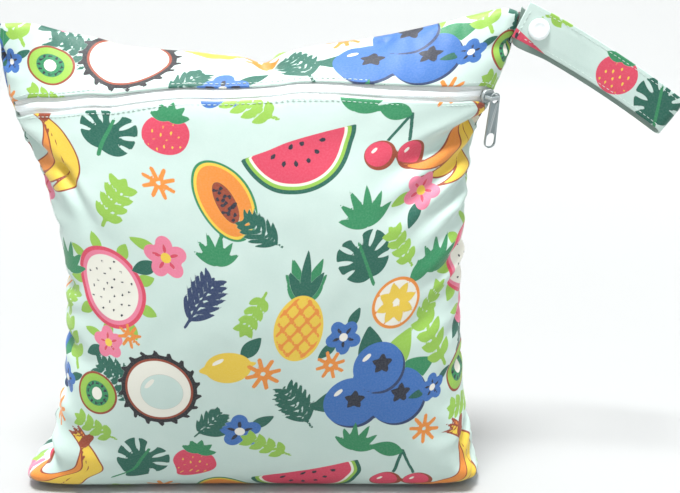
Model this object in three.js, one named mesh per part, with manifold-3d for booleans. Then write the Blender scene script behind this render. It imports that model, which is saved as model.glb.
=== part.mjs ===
// A filled cloth wet bag that stands on its flattened base. Two sewn panels meet in a seam all
// round, a zip crosses the upper front, and a snapped strap loop leaves the top right corner.
// Millimetres, +Z up, the front faces -Y, and the origin is on the base under the bag's middle.
import * as THREE from 'three';
import { mergeVertices } from 'three/addons/utils/BufferGeometryUtils.js';
import Module from 'manifold-3d';

const wasm = await Module();
wasm.setup();

// Bag sizes
const HALF_WIDTH = 150;
const HEIGHT = 290;
const BELLY_FRONT = 60;
const BELLY_BACK = 48;
const CLOTH_WALL = 1.2;
const SEAM_GAP = 0.5;
const BASE_SEAM_BACK = 26;
const NOTCH_PLACE = 1;
const NOTCH_DROP = 5;
const NOTCH_WIDTH = 9;
const TOP_SEAM_BACK = 3;
const EAR_LIFT = 3;
const EAR_LOFT = 3.2;
const RIM_ROUND = 5;
const BASE_RIM_SHARE = 0.02;

// Zip sizes
const ZIP_OPENING = 9.5;
const TAPE_WALL = 0.7;
const TAPE_TUCK = 5;
const TAPE_CLEARANCE = 0.5;
const CHAIN_WIDTH = 3.4;
const CHAIN_HEIGHT = 1.8;
const CHAIN_CLEARANCE = 0.6;
const POST_CLEARANCE = 0.8;

// Slider and pull tab sizes
const SLIDER_LENGTH = 9.6;
const SLIDER_WIDTH = 7.4;
const SLIDER_PLATE = 1.6;
const SLIDER_POST = 1.8;
const SLIDER_LIFT = 0.4;
const SLIDER_SHARE = 0.918;
const ARCH_HEIGHT = 5.4;
const ARCH_BAR = 1.4;
const ARCH_DEPTH = 1.9;
const TAB_LENGTH = 34;
const TAB_TOP_WIDTH = 5.6;
const TAB_END_WIDTH = 7.4;
const TAB_WALL = 1.1;
const TAB_RIM = 0.9;
const TAB_PLAY = 0.65;
const TAB_TOP_HOLE = 5.6;
const TAB_END_HOLE = 8.4;
const TAB_TWIST = THREE.MathUtils.degToRad(-25);
const TAB_LEAN = THREE.MathUtils.degToRad(4);

// Strap and snap sizes
const STRAP_LENGTH = 104.5;
const STRAP_WIDTH = 22;
const STRAP_WALL = 1.6;
const STRAP_GAP = 5.6;
const STRAP_AHEAD = 3;
const STRAP_SAG = 2.8;
const STRAP_ROOT_OUT = 1;
const STRAP_ROOT_DROP = 1.1;
const STRAP_SLOPE = THREE.MathUtils.degToRad(-26.4);
const STRAP_TURN = THREE.MathUtils.degToRad(-9.5);
const SNAP_ALONG = 10.5;
const CAP_RADIUS = 6.2;
const CAP_HEIGHT = 1.9;
const STUD_RADIUS = 4.6;
const PART_CLEARANCE = 0.3;

// Grid counts
const FRONT_GRID = [36, 28];
const YOKE_GRID = [36, 5];
const BACK_GRID = [32, 25];
const STRAP_GRID = [38, 3];
const ROUND_SIDES = 20;

// Side seams seen from the front: height as a share of HEIGHT, left and right of HALF_WIDTH
const SIDE_SEAMS = [
  { up: 0.0, left: -1.043, right: 0.913 },
  { up: 0.035, left: -1.021, right: 0.895 },
  { up: 0.06, left: -0.925, right: 0.876 },
  { up: 0.09, left: -0.905, right: 0.857 },
  { up: 0.2, left: -0.859, right: 0.816 },
  { up: 0.32, left: -0.824, right: 0.8 },
  { up: 0.43, left: -0.806, right: 0.788 },
  { up: 0.49, left: -0.797, right: 0.789 },
  { up: 0.61, left: -0.836, right: 0.804 },
  { up: 0.71, left: -0.899, right: 0.818 },
  { up: 0.77, left: -0.955, right: 0.83 },
  { up: 0.8, left: -0.975, right: 0.859 },
  { up: 0.85, left: -1.004, right: 0.905 },
  { up: 0.92, left: -1.019, right: 0.958 },
  { up: 1.02, left: -1.01, right: 1.006 },
];

// Top seam: place across the bag from left to right, height as a share of HEIGHT
const TOP_SEAM = [
  { across: 0.0, up: 0.99 },
  { across: 0.06, up: 0.99 },
  { across: 0.12, up: 0.975 },
  { across: 0.19, up: 0.961 },
  { across: 0.24, up: 0.946 },
  { across: 0.38, up: 0.933 },
  { across: 0.46, up: 0.925 },
  { across: 0.55, up: 0.932 },
  { across: 0.6, up: 0.943 },
  { across: 0.73, up: 0.963 },
  { across: 0.81, up: 0.98 },
  { across: 0.92, up: 1.009 },
  { across: 0.97, up: 1.02 },
  { across: 1.0, up: 1.012 },
];

// Sections up the middle: place along the cloth from the base seam to the top seam, reach as a
// share of the belly, height as a share of the local height, how sharply the ends pinch in, and
// how soon the side seams' own even climb takes over towards the ends
const FRONT_SECTION = [
  { cloth: 0.0, reach: 0.0, up: 0.0, pinch: 0.15, spread: 0.3 },
  { cloth: 0.071, reach: 0.57, up: 0.0, pinch: 0.26, spread: 0.3 },
  { cloth: 0.13, reach: 0.74, up: 0.027, pinch: 0.26, spread: 0.35 },
  { cloth: 0.188, reach: 0.793, up: 0.094, pinch: 0.3, spread: 0.4 },
  { cloth: 0.325, reach: 0.94, up: 0.262, pinch: 0.5, spread: 0.6 },
  { cloth: 0.489, reach: 0.993, up: 0.468, pinch: 0.62, spread: 1.0 },
  { cloth: 0.652, reach: 0.945, up: 0.674, pinch: 0.75, spread: 1.6 },
  { cloth: 0.758, reach: 0.853, up: 0.805, pinch: 1.15, spread: 2.6 },
  { cloth: 0.855, reach: 0.728, up: 0.925, pinch: 1.55, spread: 4.0 },
  { cloth: 0.917, reach: 0.457, up: 0.974, pinch: 1.7, spread: 4.5 },
  { cloth: 1.0, reach: 0.0, up: 1.0, pinch: 1.8, spread: 5.0 },
];
const BACK_SECTION = [
  { cloth: 0.0, reach: 0.0, up: 0.0, pinch: 0.15, spread: 0.3 },
  { cloth: 0.071, reach: 0.46, up: 0.0, pinch: 0.15, spread: 0.3 },
  { cloth: 0.13, reach: 0.76, up: 0.03, pinch: 0.2, spread: 0.35 },
  { cloth: 0.188, reach: 0.89, up: 0.1, pinch: 0.3, spread: 0.4 },
  { cloth: 0.325, reach: 0.98, up: 0.265, pinch: 0.5, spread: 0.6 },
  { cloth: 0.489, reach: 1.0, up: 0.47, pinch: 0.62, spread: 1.0 },
  { cloth: 0.652, reach: 0.95, up: 0.676, pinch: 0.75, spread: 1.6 },
  { cloth: 0.758, reach: 0.85, up: 0.808, pinch: 1.15, spread: 2.6 },
  { cloth: 0.855, reach: 0.68, up: 0.92, pinch: 1.55, spread: 4.0 },
  { cloth: 0.93, reach: 0.4, up: 0.975, pinch: 1.7, spread: 4.5 },
  { cloth: 1.0, reach: 0.0, up: 1.0, pinch: 1.8, spread: 5.0 },
];

// Zip line: place across the bag and place along the cloth
const ZIP_LINE = [
  { across: 0.0, cloth: 0.826 },
  { across: 0.1, cloth: 0.844 },
  { across: 0.3, cloth: 0.865 },
  { across: 0.55, cloth: 0.868 },
  { across: 0.8, cloth: 0.856 },
  { across: 1.0, cloth: 0.833 },
];

// Folds pressed into each panel, strongest at their first end: ends as shares of HALF_WIDTH and
// HEIGHT, width as a share of HALF_WIDTH, depth as a share of the panel's belly
const FRONT_FOLDS = [
  { fromX: -0.99, fromUp: 0.79, toX: -0.7, toUp: 0.58, width: 0.05, depth: 0.1 },
  { fromX: -0.88, fromUp: 0.74, toX: -0.72, toUp: 0.5, width: 0.045, depth: 0.07 },
  { fromX: -0.9, fromUp: 0.4, toX: -0.62, toUp: 0.43, width: 0.04, depth: 0.06 },
  { fromX: -0.92, fromUp: 0.3, toX: -0.6, toUp: 0.33, width: 0.04, depth: 0.05 },
  { fromX: -0.93, fromUp: 0.12, toX: -0.95, toUp: 0.02, width: 0.04, depth: 0.16 },
  { fromX: -0.86, fromUp: 0.16, toX: -0.55, toUp: 0.1, width: 0.05, depth: 0.06 },
  { fromX: 0.84, fromUp: 0.77, toX: 0.5, toUp: 0.62, width: 0.05, depth: 0.11 },
  { fromX: 0.82, fromUp: 0.69, toX: 0.52, toUp: 0.56, width: 0.045, depth: 0.08 },
  { fromX: 0.81, fromUp: 0.62, toX: 0.56, toUp: 0.52, width: 0.04, depth: 0.07 },
  { fromX: 0.8, fromUp: 0.45, toX: 0.5, toUp: 0.38, width: 0.045, depth: 0.07 },
  { fromX: 0.8, fromUp: 0.54, toX: 0.56, toUp: 0.44, width: 0.04, depth: 0.05 },
  { fromX: 0.88, fromUp: 0.1, toX: 0.7, toUp: 0.03, width: 0.04, depth: 0.1 },
  { fromX: 0.01, fromUp: 0.93, toX: 0.03, toUp: 0.9, width: 0.08, depth: 0.06 },
];
const BACK_FOLDS = [
  { fromX: -0.9, fromUp: 0.76, toX: -0.5, toUp: 0.6, width: 0.05, depth: 0.12 },
  { fromX: -0.85, fromUp: 0.5, toX: -0.5, toUp: 0.44, width: 0.045, depth: 0.08 },
  { fromX: -0.9, fromUp: 0.14, toX: -0.55, toUp: 0.2, width: 0.05, depth: 0.1 },
  { fromX: 0.82, fromUp: 0.74, toX: 0.5, toUp: 0.56, width: 0.05, depth: 0.12 },
  { fromX: 0.8, fromUp: 0.4, toX: 0.5, toUp: 0.36, width: 0.045, depth: 0.08 },
  { fromX: 0.84, fromUp: 0.12, toX: 0.55, toUp: 0.2, width: 0.05, depth: 0.1 },
  { fromX: 0.05, fromUp: 0.91, toX: 0.0, toUp: 0.8, width: 0.07, depth: 0.08 },
];

const clamp = THREE.MathUtils.clamp;
const lerp = THREE.MathUtils.lerp;

// Smooth reading of one column of a table at a place given in another column
function readTable(table, key, column, place) {
  const last = table.length - 1;
  const at = clamp(place, table[0][key], table[last][key]);
  let row = 0;
  while (row < last - 1 && at > table[row + 1][key]) row += 1;
  const slope = (index) => {
    const before = table[Math.max(index - 1, 0)];
    const after = table[Math.min(index + 1, last)];
    return (after[column] - before[column]) / (after[key] - before[key]);
  };
  const start = table[row];
  const end = table[row + 1];
  const span = end[key] - start[key];
  const t = (at - start[key]) / span;
  const bendStart = slope(row) * span;
  const bendEnd = slope(row + 1) * span;
  return (2 * t ** 3 - 3 * t ** 2 + 1) * start[column] + (t ** 3 - 2 * t ** 2 + t) * bendStart
    + (3 * t ** 2 - 2 * t ** 3) * end[column] + (t ** 3 - t ** 2) * bendEnd;
}

const swell = (across, power) => Math.max(Math.sin(Math.PI * across), 0) ** power;
const widthShare = (across) => (1 - Math.cos(Math.PI * clamp(across, 0, 1))) / 2;
const quarterRound = (distance) => Math.sqrt(1 - (1 - clamp(distance / RIM_ROUND, 0, 1)) ** 2);
const leftSeam = (height) => HALF_WIDTH * readTable(SIDE_SEAMS, 'up', 'left', height / HEIGHT);
const rightSeam = (height) => HALF_WIDTH * readTable(SIDE_SEAMS, 'up', 'right', height / HEIGHT);
const topSeam = (across) => HEIGHT * readTable(TOP_SEAM, 'across', 'up', widthShare(across));

function baseSeam(across) {
  const earReach = 0.12;
  const fromEnd = Math.min(across, 1 - across) / earReach;
  return EAR_LIFT * (1 - clamp(fromEnd, 0, 1)) ** 2;
}

// Inward press of the folds at one place on a panel
function foldPress(folds, belly, x, height) {
  let press = 0;
  for (const fold of folds) {
    const from = new THREE.Vector2(fold.fromX * HALF_WIDTH, fold.fromUp * HEIGHT);
    const run = new THREE.Vector2(fold.toX * HALF_WIDTH, fold.toUp * HEIGHT).sub(from);
    const offset = new THREE.Vector2(x, height).sub(from);
    const along = clamp(offset.dot(run) / run.lengthSq(), 0, 1);
    const aside = offset.distanceTo(run.multiplyScalar(along)) / (fold.width * HALF_WIDTH);
    press += fold.depth * belly * Math.cos(along * Math.PI / 2) * Math.exp(-aside * aside);
  }
  return press;
}

// Point on a panel's outer face: side is -1 for the front and +1 for the back
function panelPoint(panel, across, cloth) {
  const u = clamp(across, 0, 1);
  const v = clamp(cloth, 0, 1);
  const middle = Math.max(readTable(panel.section, 'cloth', 'up', v), 0);
  const climb = lerp(v, middle, swell(u, readTable(panel.section, 'cloth', 'spread', v)));
  const base = baseSeam(u);
  const top = topSeam(u);
  const height = base + (top - base) * climb;
  const left = leftSeam(height);
  const right = rightSeam(height);
  const x = lerp(left, right, widthShare(u));
  const notch = NOTCH_DROP * Math.exp(-(((x - NOTCH_PLACE) / NOTCH_WIDTH) ** 2)) * v ** 24;
  const seam = swell(u, 2) * (BASE_SEAM_BACK * (1 - v) ** 3 + TOP_SEAM_BACK * v);
  const reach = readTable(panel.section, 'cloth', 'reach', v);
  const pinch = readTable(panel.section, 'cloth', 'pinch', v);
  const rim = quarterRound(Math.min(x - left, right - x)) * quarterRound(top - height);
  const loft = EAR_LOFT * rim * Math.sqrt(Math.min(v / BASE_RIM_SHARE, 1));
  const bulge = panel.belly * reach * swell(u, pinch) + loft;
  const press = foldPress(panel.folds, panel.belly, x, height) * rim * swell(u, 0.5);
  const depth = Math.max(bulge - press * Math.min(climb / 0.05, 1), 0);
  return new THREE.Vector3(x, seam + panel.side * (SEAM_GAP / 2 + depth), height - notch);
}

const FRONT = { side: -1, belly: BELLY_FRONT, section: FRONT_SECTION, folds: FRONT_FOLDS };
const BACK = { side: 1, belly: BELLY_BACK, section: BACK_SECTION, folds: BACK_FOLDS };

// Outward direction on a panel: along a seam it stays in the seam's own plane
function panelNormal(panel, across, cloth) {
  const step = 0.004;
  const [left, right] = [Math.max(across - step, 0), Math.min(across + step, 1)];
  const [low, high] = [Math.max(cloth - step, 0), Math.min(cloth + step, 1)];
  const run = panelPoint(panel, right, cloth).sub(panelPoint(panel, left, cloth));
  const climb = panelPoint(panel, across, high).sub(panelPoint(panel, across, low));
  const normal = run.cross(climb).multiplyScalar(-panel.side).normalize();
  const seamBand = 0.03;
  const nearest = Math.min(across, 1 - across, cloth, 1 - cloth);
  normal.y *= THREE.MathUtils.smoothstep(nearest, 0, seamBand);
  return normal.normalize();
}

function belowFace(panel, across, cloth, inset) {
  return panelPoint(panel, across, cloth).addScaledVector(panelNormal(panel, across, cloth), -inset);
}

// Closed body from a grid block: place(u, v, w) says where each point of the unit block goes
function bodyFromBlock([columns, rows], layers, place) {
  const block = new THREE.BoxGeometry(1, 1, 1, columns, rows, layers);
  block.deleteAttribute('normal');
  block.deleteAttribute('uv');
  const body = mergeVertices(block, 1e-5);
  const points = body.getAttribute('position');
  for (let index = 0; index < points.count; index += 1) {
    const u = points.getX(index) + 0.5;
    const v = points.getY(index) + 0.5;
    const w = points.getZ(index) + 0.5;
    points.setXYZ(index, ...place(u, v, w).toArray());
  }
  body.computeVertexNormals();
  return body;
}

// Cloth strip of a panel between two lines along the cloth, from one inset to another
function clothBody(panel, grid, lowLine, highLine, innerInset, outerInset) {
  return bodyFromBlock(grid, 1, (u, v, w) => {
    const across = panel.side < 0 ? u : 1 - u;
    const cloth = lerp(lowLine(across), highLine(across), v);
    return belowFace(panel, across, cloth, lerp(innerInset, outerInset, w));
  });
}

const zipLine = (across) => readTable(ZIP_LINE, 'across', 'cloth', widthShare(across));

// Line that runs beside the zip at a distance up the cloth
function besideZip(distance) {
  return (across) => {
    const middle = zipLine(across);
    const step = 0.005;
    const ahead = panelPoint(FRONT, across, middle + step);
    const behind = panelPoint(FRONT, across, middle - step);
    return middle + distance * 2 * step / ahead.distanceTo(behind);
  };
}

function frontPanel() {
  return clothBody(FRONT, FRONT_GRID, () => 0, besideZip(-ZIP_OPENING / 2), CLOTH_WALL, 0);
}

function frontYoke() {
  return clothBody(FRONT, YOKE_GRID, besideZip(ZIP_OPENING / 2), () => 1, CLOTH_WALL, 0);
}

function backPanel() {
  return clothBody(BACK, BACK_GRID, () => 0, () => 1, CLOTH_WALL, 0);
}

const tapeTop = CLOTH_WALL + TAPE_CLEARANCE;
const tapeEdge = CHAIN_WIDTH / 2 + CHAIN_CLEARANCE;
const tapeReach = ZIP_OPENING / 2 + TAPE_TUCK;

function zipTape(lowDistance, highDistance) {
  const grid = [FRONT_GRID[0], 2];
  const low = besideZip(lowDistance);
  const high = besideZip(highDistance);
  return clothBody(FRONT, grid, low, high, tapeTop + TAPE_WALL, tapeTop);
}

const sliderPlace = () => panelPoint(FRONT, SLIDER_SHARE, zipLine(SLIDER_SHARE));

// The chain ends under the slider, before the slider's post
function zipChain() {
  const step = 0.01;
  const behind = panelPoint(FRONT, SLIDER_SHARE - step, zipLine(SLIDER_SHARE - step));
  const chainEnd = SLIDER_SHARE - step * (SLIDER_POST + POST_CLEARANCE) / sliderPlace().distanceTo(behind);
  const low = besideZip(-CHAIN_WIDTH / 2);
  const high = besideZip(CHAIN_WIDTH / 2);
  const foot = tapeTop + TAPE_WALL;
  return bodyFromBlock([FRONT_GRID[0], 2], 1, (u, v, w) => {
    const across = u * chainEnd;
    const crest = foot - CHAIN_HEIGHT * lerp(0.45, 1, 1 - Math.abs(2 * v - 1));
    return belowFace(FRONT, across, lerp(low(across), high(across), v), lerp(foot, crest, w));
  });
}

function toManifold(geometry) {
  const bare = geometry.clone();
  bare.deleteAttribute('normal');
  bare.deleteAttribute('uv');
  const merged = mergeVertices(bare, 1e-4);
  return new wasm.Manifold(new wasm.Mesh({
    numProp: 3,
    vertProperties: new Float32Array(merged.getAttribute('position').array),
    triVerts: new Uint32Array(merged.index.array),
  }));
}

function toGeometry(solid) {
  const mesh = solid.getMesh();
  const geometry = new THREE.BufferGeometry();
  geometry.setAttribute('position', new THREE.BufferAttribute(mesh.vertProperties, 3));
  geometry.setIndex(new THREE.BufferAttribute(mesh.triVerts, 1));
  geometry.computeVertexNormals();
  return geometry;
}

// Outline with rounded corners, from its lower left corner
function roundedOutline(left, low, width, height, radius) {
  const corner = Math.min(radius, width / 2.01, height / 2.01);
  const [right, high] = [left + width, low + height];
  const outline = new THREE.Shape();
  outline.moveTo(left + corner, low);
  outline.lineTo(right - corner, low);
  outline.absarc(right - corner, low + corner, corner, -Math.PI / 2, 0, false);
  outline.lineTo(right, high - corner);
  outline.absarc(right - corner, high - corner, corner, 0, Math.PI / 2, false);
  outline.lineTo(left + corner, high);
  outline.absarc(left + corner, high - corner, corner, Math.PI / 2, Math.PI, false);
  outline.lineTo(left, low + corner);
  outline.absarc(left + corner, low + corner, corner, Math.PI, 1.5 * Math.PI, false);
  return outline;
}

const extrude = (shape, depth, steps = 3) => new THREE.ExtrudeGeometry(shape, {
  depth, bevelEnabled: false, curveSegments: steps,
});

// Slider frame: X along the zip, Y up across it, Z out of the cloth
const plateFoot = SLIDER_LIFT;
const plateTop = plateFoot + SLIDER_PLATE;
const windowLow = plateTop + 0.5;
const windowHigh = plateTop + ARCH_HEIGHT - ARCH_BAR;
const archHalf = SLIDER_LENGTH / 2 - 0.5;
const outerLeg = archHalf - ARCH_BAR / 2;

// Top plate, arch for the tab, and the post and lower plate that grip the chain
function sliderBody() {
  const plate = roundedOutline(-SLIDER_LENGTH / 2, -SLIDER_WIDTH / 2, SLIDER_LENGTH, SLIDER_WIDTH, 2.6);
  const top = toManifold(extrude(plate, SLIDER_PLATE).translate(0, 0, plateFoot));
  const side = roundedOutline(-archHalf, plateTop - 0.4, 2 * archHalf, ARCH_HEIGHT + 0.4, 1.4);
  const windowHalf = archHalf - ARCH_BAR;
  side.holes.push(roundedOutline(-windowHalf, windowLow, 2 * windowHalf, windowHigh - windowLow, 0.5));
  const arch = extrude(side, ARCH_DEPTH).translate(0, 0, -ARCH_DEPTH / 2).rotateX(Math.PI / 2);
  const lowFace = -(tapeTop + TAPE_WALL) - 1.1;
  const postReach = plateFoot + 0.2 - (lowFace - 0.2);
  const post = new THREE.BoxGeometry(SLIDER_POST, SLIDER_POST, postReach);
  post.translate(-SLIDER_POST / 2, 0, lowFace - 0.2 + postReach / 2);
  const footWidth = SLIDER_WIDTH / 1.2;
  const low = roundedOutline(-SLIDER_LENGTH / 2, -footWidth / 2, SLIDER_LENGTH / 2, footWidth, 1);
  const foot = extrude(low, 1).translate(0, 0, lowFace - 1);
  return toGeometry(top.add(toManifold(arch)).add(toManifold(post)).add(toManifold(foot)));
}

// Tab frame: hangs down -Y from the hinge leg at the origin, Z out of its own face
function pullTab() {
  const holeTop = ARCH_DEPTH / 2 + TAB_PLAY;
  const topHole = [TAB_TOP_WIDTH - 2 * TAB_RIM, TAB_TOP_HOLE];
  const endHole = [TAB_END_WIDTH - 2 * TAB_RIM, TAB_END_HOLE];
  const topEdge = holeTop + TAB_RIM;
  const lowEdge = topEdge - TAB_LENGTH;
  const outline = new THREE.Shape();
  const topRound = TAB_TOP_WIDTH / 2;
  const endRound = TAB_END_WIDTH / 2;
  outline.absarc(0, topEdge - topRound, topRound, 0, Math.PI, false);
  outline.absarc(0, lowEdge + endRound, endRound, Math.PI, 2 * Math.PI, false);
  outline.holes.push(roundedOutline(-topHole[0] / 2, holeTop - topHole[1], ...topHole, 0.49 * topHole[0]));
  outline.holes.push(roundedOutline(-endHole[0] / 2, lowEdge + TAB_RIM, ...endHole, 0.49 * endHole[0]));
  return extrude(outline, TAB_WALL, 5).translate(0, 0, -TAB_WALL / 2);
}

const strapStart = new THREE.Vector2(HALF_WIDTH + STRAP_ROOT_OUT, HEIGHT - STRAP_ROOT_DROP);
const strapBend = STRAP_TURN / STRAP_LENGTH;
const strapHeading = (along) => STRAP_SLOPE + strapBend * along;

// Middle line of the strap seen from the front
function strapLine(along) {
  const heading = strapHeading(along);
  const x = strapStart.x + (Math.sin(heading) - Math.sin(STRAP_SLOPE)) / strapBend;
  const z = strapStart.y - (Math.cos(heading) - Math.cos(STRAP_SLOPE)) / strapBend;
  return new THREE.Vector2(x, z);
}

const layerOffset = (STRAP_GAP + STRAP_WALL) / 2;

// One band from the side seam out to the fold and back over itself
function strapLoop() {
  const foldRun = Math.PI * layerOffset;
  const runs = 2 * STRAP_LENGTH + foldRun;
  return bodyFromBlock(STRAP_GRID, 1, (u, v, w) => {
    const run = u * runs;
    const turn = clamp((run - STRAP_LENGTH) / layerOffset, 0, Math.PI);
    const along = run < STRAP_LENGTH ? run : Math.min(runs - run, STRAP_LENGTH);
    const outside = lerp(-STRAP_WALL / 2, STRAP_WALL / 2, w);
    const heading = strapHeading(along);
    const centre = strapLine(along);
    const past = (layerOffset + outside) * Math.sin(turn);
    const sideways = (0.5 - v) * STRAP_WIDTH;
    const sag = STRAP_SAG * (1 + Math.cos(turn)) / 2;
    const x = centre.x + past * Math.cos(heading) - sideways * Math.sin(heading);
    const z = centre.y + past * Math.sin(heading) + sideways * Math.cos(heading) - sag;
    const y = (layerOffset + outside) * Math.cos(turn) - STRAP_AHEAD;
    const rootShare = clamp(1 - run / (STRAP_LENGTH / 4), 0, 1);
    const seamX = rightSeam(z) + 3 * PART_CLEARANCE;
    return new THREE.Vector3(lerp(x, seamX, rootShare ** 2), y, z);
  });
}

const capProfile = () => [
  new THREE.Vector2(0, 0),
  new THREE.Vector2(CAP_RADIUS, 0),
  new THREE.Vector2(CAP_RADIUS, CAP_HEIGHT * 0.35),
  new THREE.Vector2(CAP_RADIUS * 0.93, CAP_HEIGHT * 0.75),
  new THREE.Vector2(CAP_RADIUS * 0.7, CAP_HEIGHT),
  new THREE.Vector2(0, CAP_HEIGHT * 0.94),
];

const snapCap = () => new THREE.LatheGeometry(capProfile(), ROUND_SIDES);
const snapStud = () => new THREE.CylinderGeometry(
  STUD_RADIUS, STUD_RADIUS, STRAP_GAP - 2 * PART_CLEARANCE, ROUND_SIDES);

const CLOTH = { color: 0xcfe9da, roughness: 0.75, metalness: 0 };
const TAPE = { color: 0xf4f5f3, roughness: 0.7, metalness: 0 };
const PLASTIC = { color: 0xf2f2f0, roughness: 0.3, metalness: 0 };
const METAL = { color: 0xc9cbcc, roughness: 0.32, metalness: 1 };

function named(name, geometry, finish) {
  const mesh = new THREE.Mesh(geometry, new THREE.MeshStandardMaterial(finish));
  mesh.name = name;
  return mesh;
}

function bagBody() {
  const group = new THREE.Group();
  group.add(named('front_panel', frontPanel(), CLOTH));
  group.add(named('front_yoke', frontYoke(), CLOTH));
  group.add(named('back_panel', backPanel(), CLOTH));
  return group;
}

function zip() {
  const group = new THREE.Group();
  group.add(named('zip_tape_upper', zipTape(tapeEdge, tapeReach), TAPE));
  group.add(named('zip_tape_lower', zipTape(-tapeReach, -tapeEdge), TAPE));
  group.add(named('zip_chain', zipChain(), TAPE));
  const carriage = new THREE.Group();
  carriage.position.copy(sliderPlace());
  const out = panelNormal(FRONT, SLIDER_SHARE, zipLine(SLIDER_SHARE));
  carriage.rotation.set(Math.PI / 2 - Math.asin(out.z), 0, Math.atan2(out.x, -out.y), 'ZYX');
  carriage.add(named('zip_slider', sliderBody(), METAL));
  const tab = named('pull_tab', pullTab(), METAL);
  tab.position.set(outerLeg, 0, (windowLow + windowHigh) / 2);
  tab.rotation.set(0, TAB_TWIST, TAB_LEAN);
  carriage.add(tab);
  group.add(carriage);
  return group;
}

// Strap with its snap: a cap on each outer face and the joined stud and socket between the layers
function strap() {
  const group = new THREE.Group();
  group.add(named('strap_loop', strapLoop(), CLOTH));
  const centre = strapLine(SNAP_ALONG);
  const reach = layerOffset + STRAP_WALL / 2 + PART_CLEARANCE;
  const places = [
    { name: 'snap_cap', body: snapCap(), y: -reach, turn: Math.PI },
    { name: 'snap_back_cap', body: snapCap(), y: reach, turn: 0 },
    { name: 'snap_stud', body: snapStud(), y: 0, turn: 0 },
  ];
  for (const { name, body, y, turn } of places) {
    const piece = named(name, body, PLASTIC);
    piece.position.set(centre.x, y - STRAP_AHEAD, centre.y);
    piece.rotation.x = turn;
    group.add(piece);
  }
  return group;
}

const bag = new THREE.Group();
bag.add(bagBody(), zip(), strap());

export default bag;
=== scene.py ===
"""Filled cloth wet bag: printed panels, zip, slider, pull tab and snapped strap loop."""
import logging
import math
from dataclasses import dataclass, field
from enum import Enum
from typing import Callable, Sequence

import bmesh
import bpy
import numpy as np
from mathutils import Matrix, Vector


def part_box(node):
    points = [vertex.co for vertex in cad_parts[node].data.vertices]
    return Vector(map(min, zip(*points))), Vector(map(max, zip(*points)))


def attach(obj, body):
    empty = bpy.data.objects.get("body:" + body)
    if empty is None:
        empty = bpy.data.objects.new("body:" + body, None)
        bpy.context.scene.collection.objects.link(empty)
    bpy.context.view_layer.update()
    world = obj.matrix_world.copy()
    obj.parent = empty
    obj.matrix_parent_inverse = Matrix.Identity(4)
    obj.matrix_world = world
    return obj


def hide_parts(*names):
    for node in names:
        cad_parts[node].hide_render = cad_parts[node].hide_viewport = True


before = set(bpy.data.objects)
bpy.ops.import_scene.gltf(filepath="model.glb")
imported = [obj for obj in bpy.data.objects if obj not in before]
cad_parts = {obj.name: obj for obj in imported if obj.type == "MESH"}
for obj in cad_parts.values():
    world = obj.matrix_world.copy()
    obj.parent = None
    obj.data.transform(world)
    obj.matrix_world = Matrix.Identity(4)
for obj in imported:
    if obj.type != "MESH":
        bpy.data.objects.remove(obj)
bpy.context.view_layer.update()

LOG = logging.getLogger("wet_bag")
MM = 0.001
ROOT_BODY = "bag"


class Side(Enum):
    """Which panel of the bag a place is on."""

    FRONT = -1
    BACK = 1


class Ink(Enum):
    """Inks of the printed cloth in printing order, each with its linear colour."""

    BLACK = (0.012, 0.012, 0.016)
    RUST = (0.31, 0.055, 0.02)
    NAVY = (0.02, 0.045, 0.13)
    LEAF_DARK = (0.008, 0.12, 0.08)
    LEAF = (0.025, 0.25, 0.1)
    LIME = (0.3, 0.55, 0.07)
    RIND = (0.88, 0.87, 0.76)
    ROSE = (0.72, 0.06, 0.12)
    PINK = (0.84, 0.22, 0.34)
    YELLOW = (0.86, 0.6, 0.06)
    ORANGE = (0.84, 0.28, 0.04)
    BLUE = (0.04, 0.16, 0.48)
    CREAM = (0.88, 0.87, 0.77)
    SEED = (0.014, 0.018, 0.035)

    @property
    def layer(self) -> str:
        """Name of the mesh attribute that holds this ink's signed distance."""
        return "ink_" + self.name.lower()


@dataclass(frozen=True)
class Table:
    """A short table of sections, read smoothly between its rows.

    Attributes:
        rows: One tuple for each row; the first value is the place.
        names: The names of the columns after the first.
    """

    names: tuple[str, ...]
    rows: tuple[tuple[float, ...], ...]

    def read(self, name: str, place: np.ndarray) -> np.ndarray:
        """Reads one column at some places.

        Args:
            name: The column.
            place: Places along the first column.

        Returns:
            The column's values there.
        """
        table = np.array(self.rows)
        keys = table[:, 0]
        values = table[:, 1 + self.names.index(name)]
        slopes = np.gradient(values)
        slopes[1:-1] = (values[2:] - values[:-2]) / (keys[2:] - keys[:-2])
        slopes[0] = (values[1] - values[0]) / (keys[1] - keys[0])
        slopes[-1] = (values[-1] - values[-2]) / (keys[-1] - keys[-2])
        at = np.clip(place, keys[0], keys[-1])
        row = np.clip(np.searchsorted(keys, at) - 1, 0, len(keys) - 2)
        span = keys[row + 1] - keys[row]
        t = (at - keys[row]) / span
        start = (2 * t**3 - 3 * t**2 + 1) * values[row] + (t**3 - 2 * t**2 + t) * slopes[row] * span
        end = (3 * t**2 - 2 * t**3) * values[row + 1] + (t**3 - t**2) * slopes[row + 1] * span
        return start + end


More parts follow.
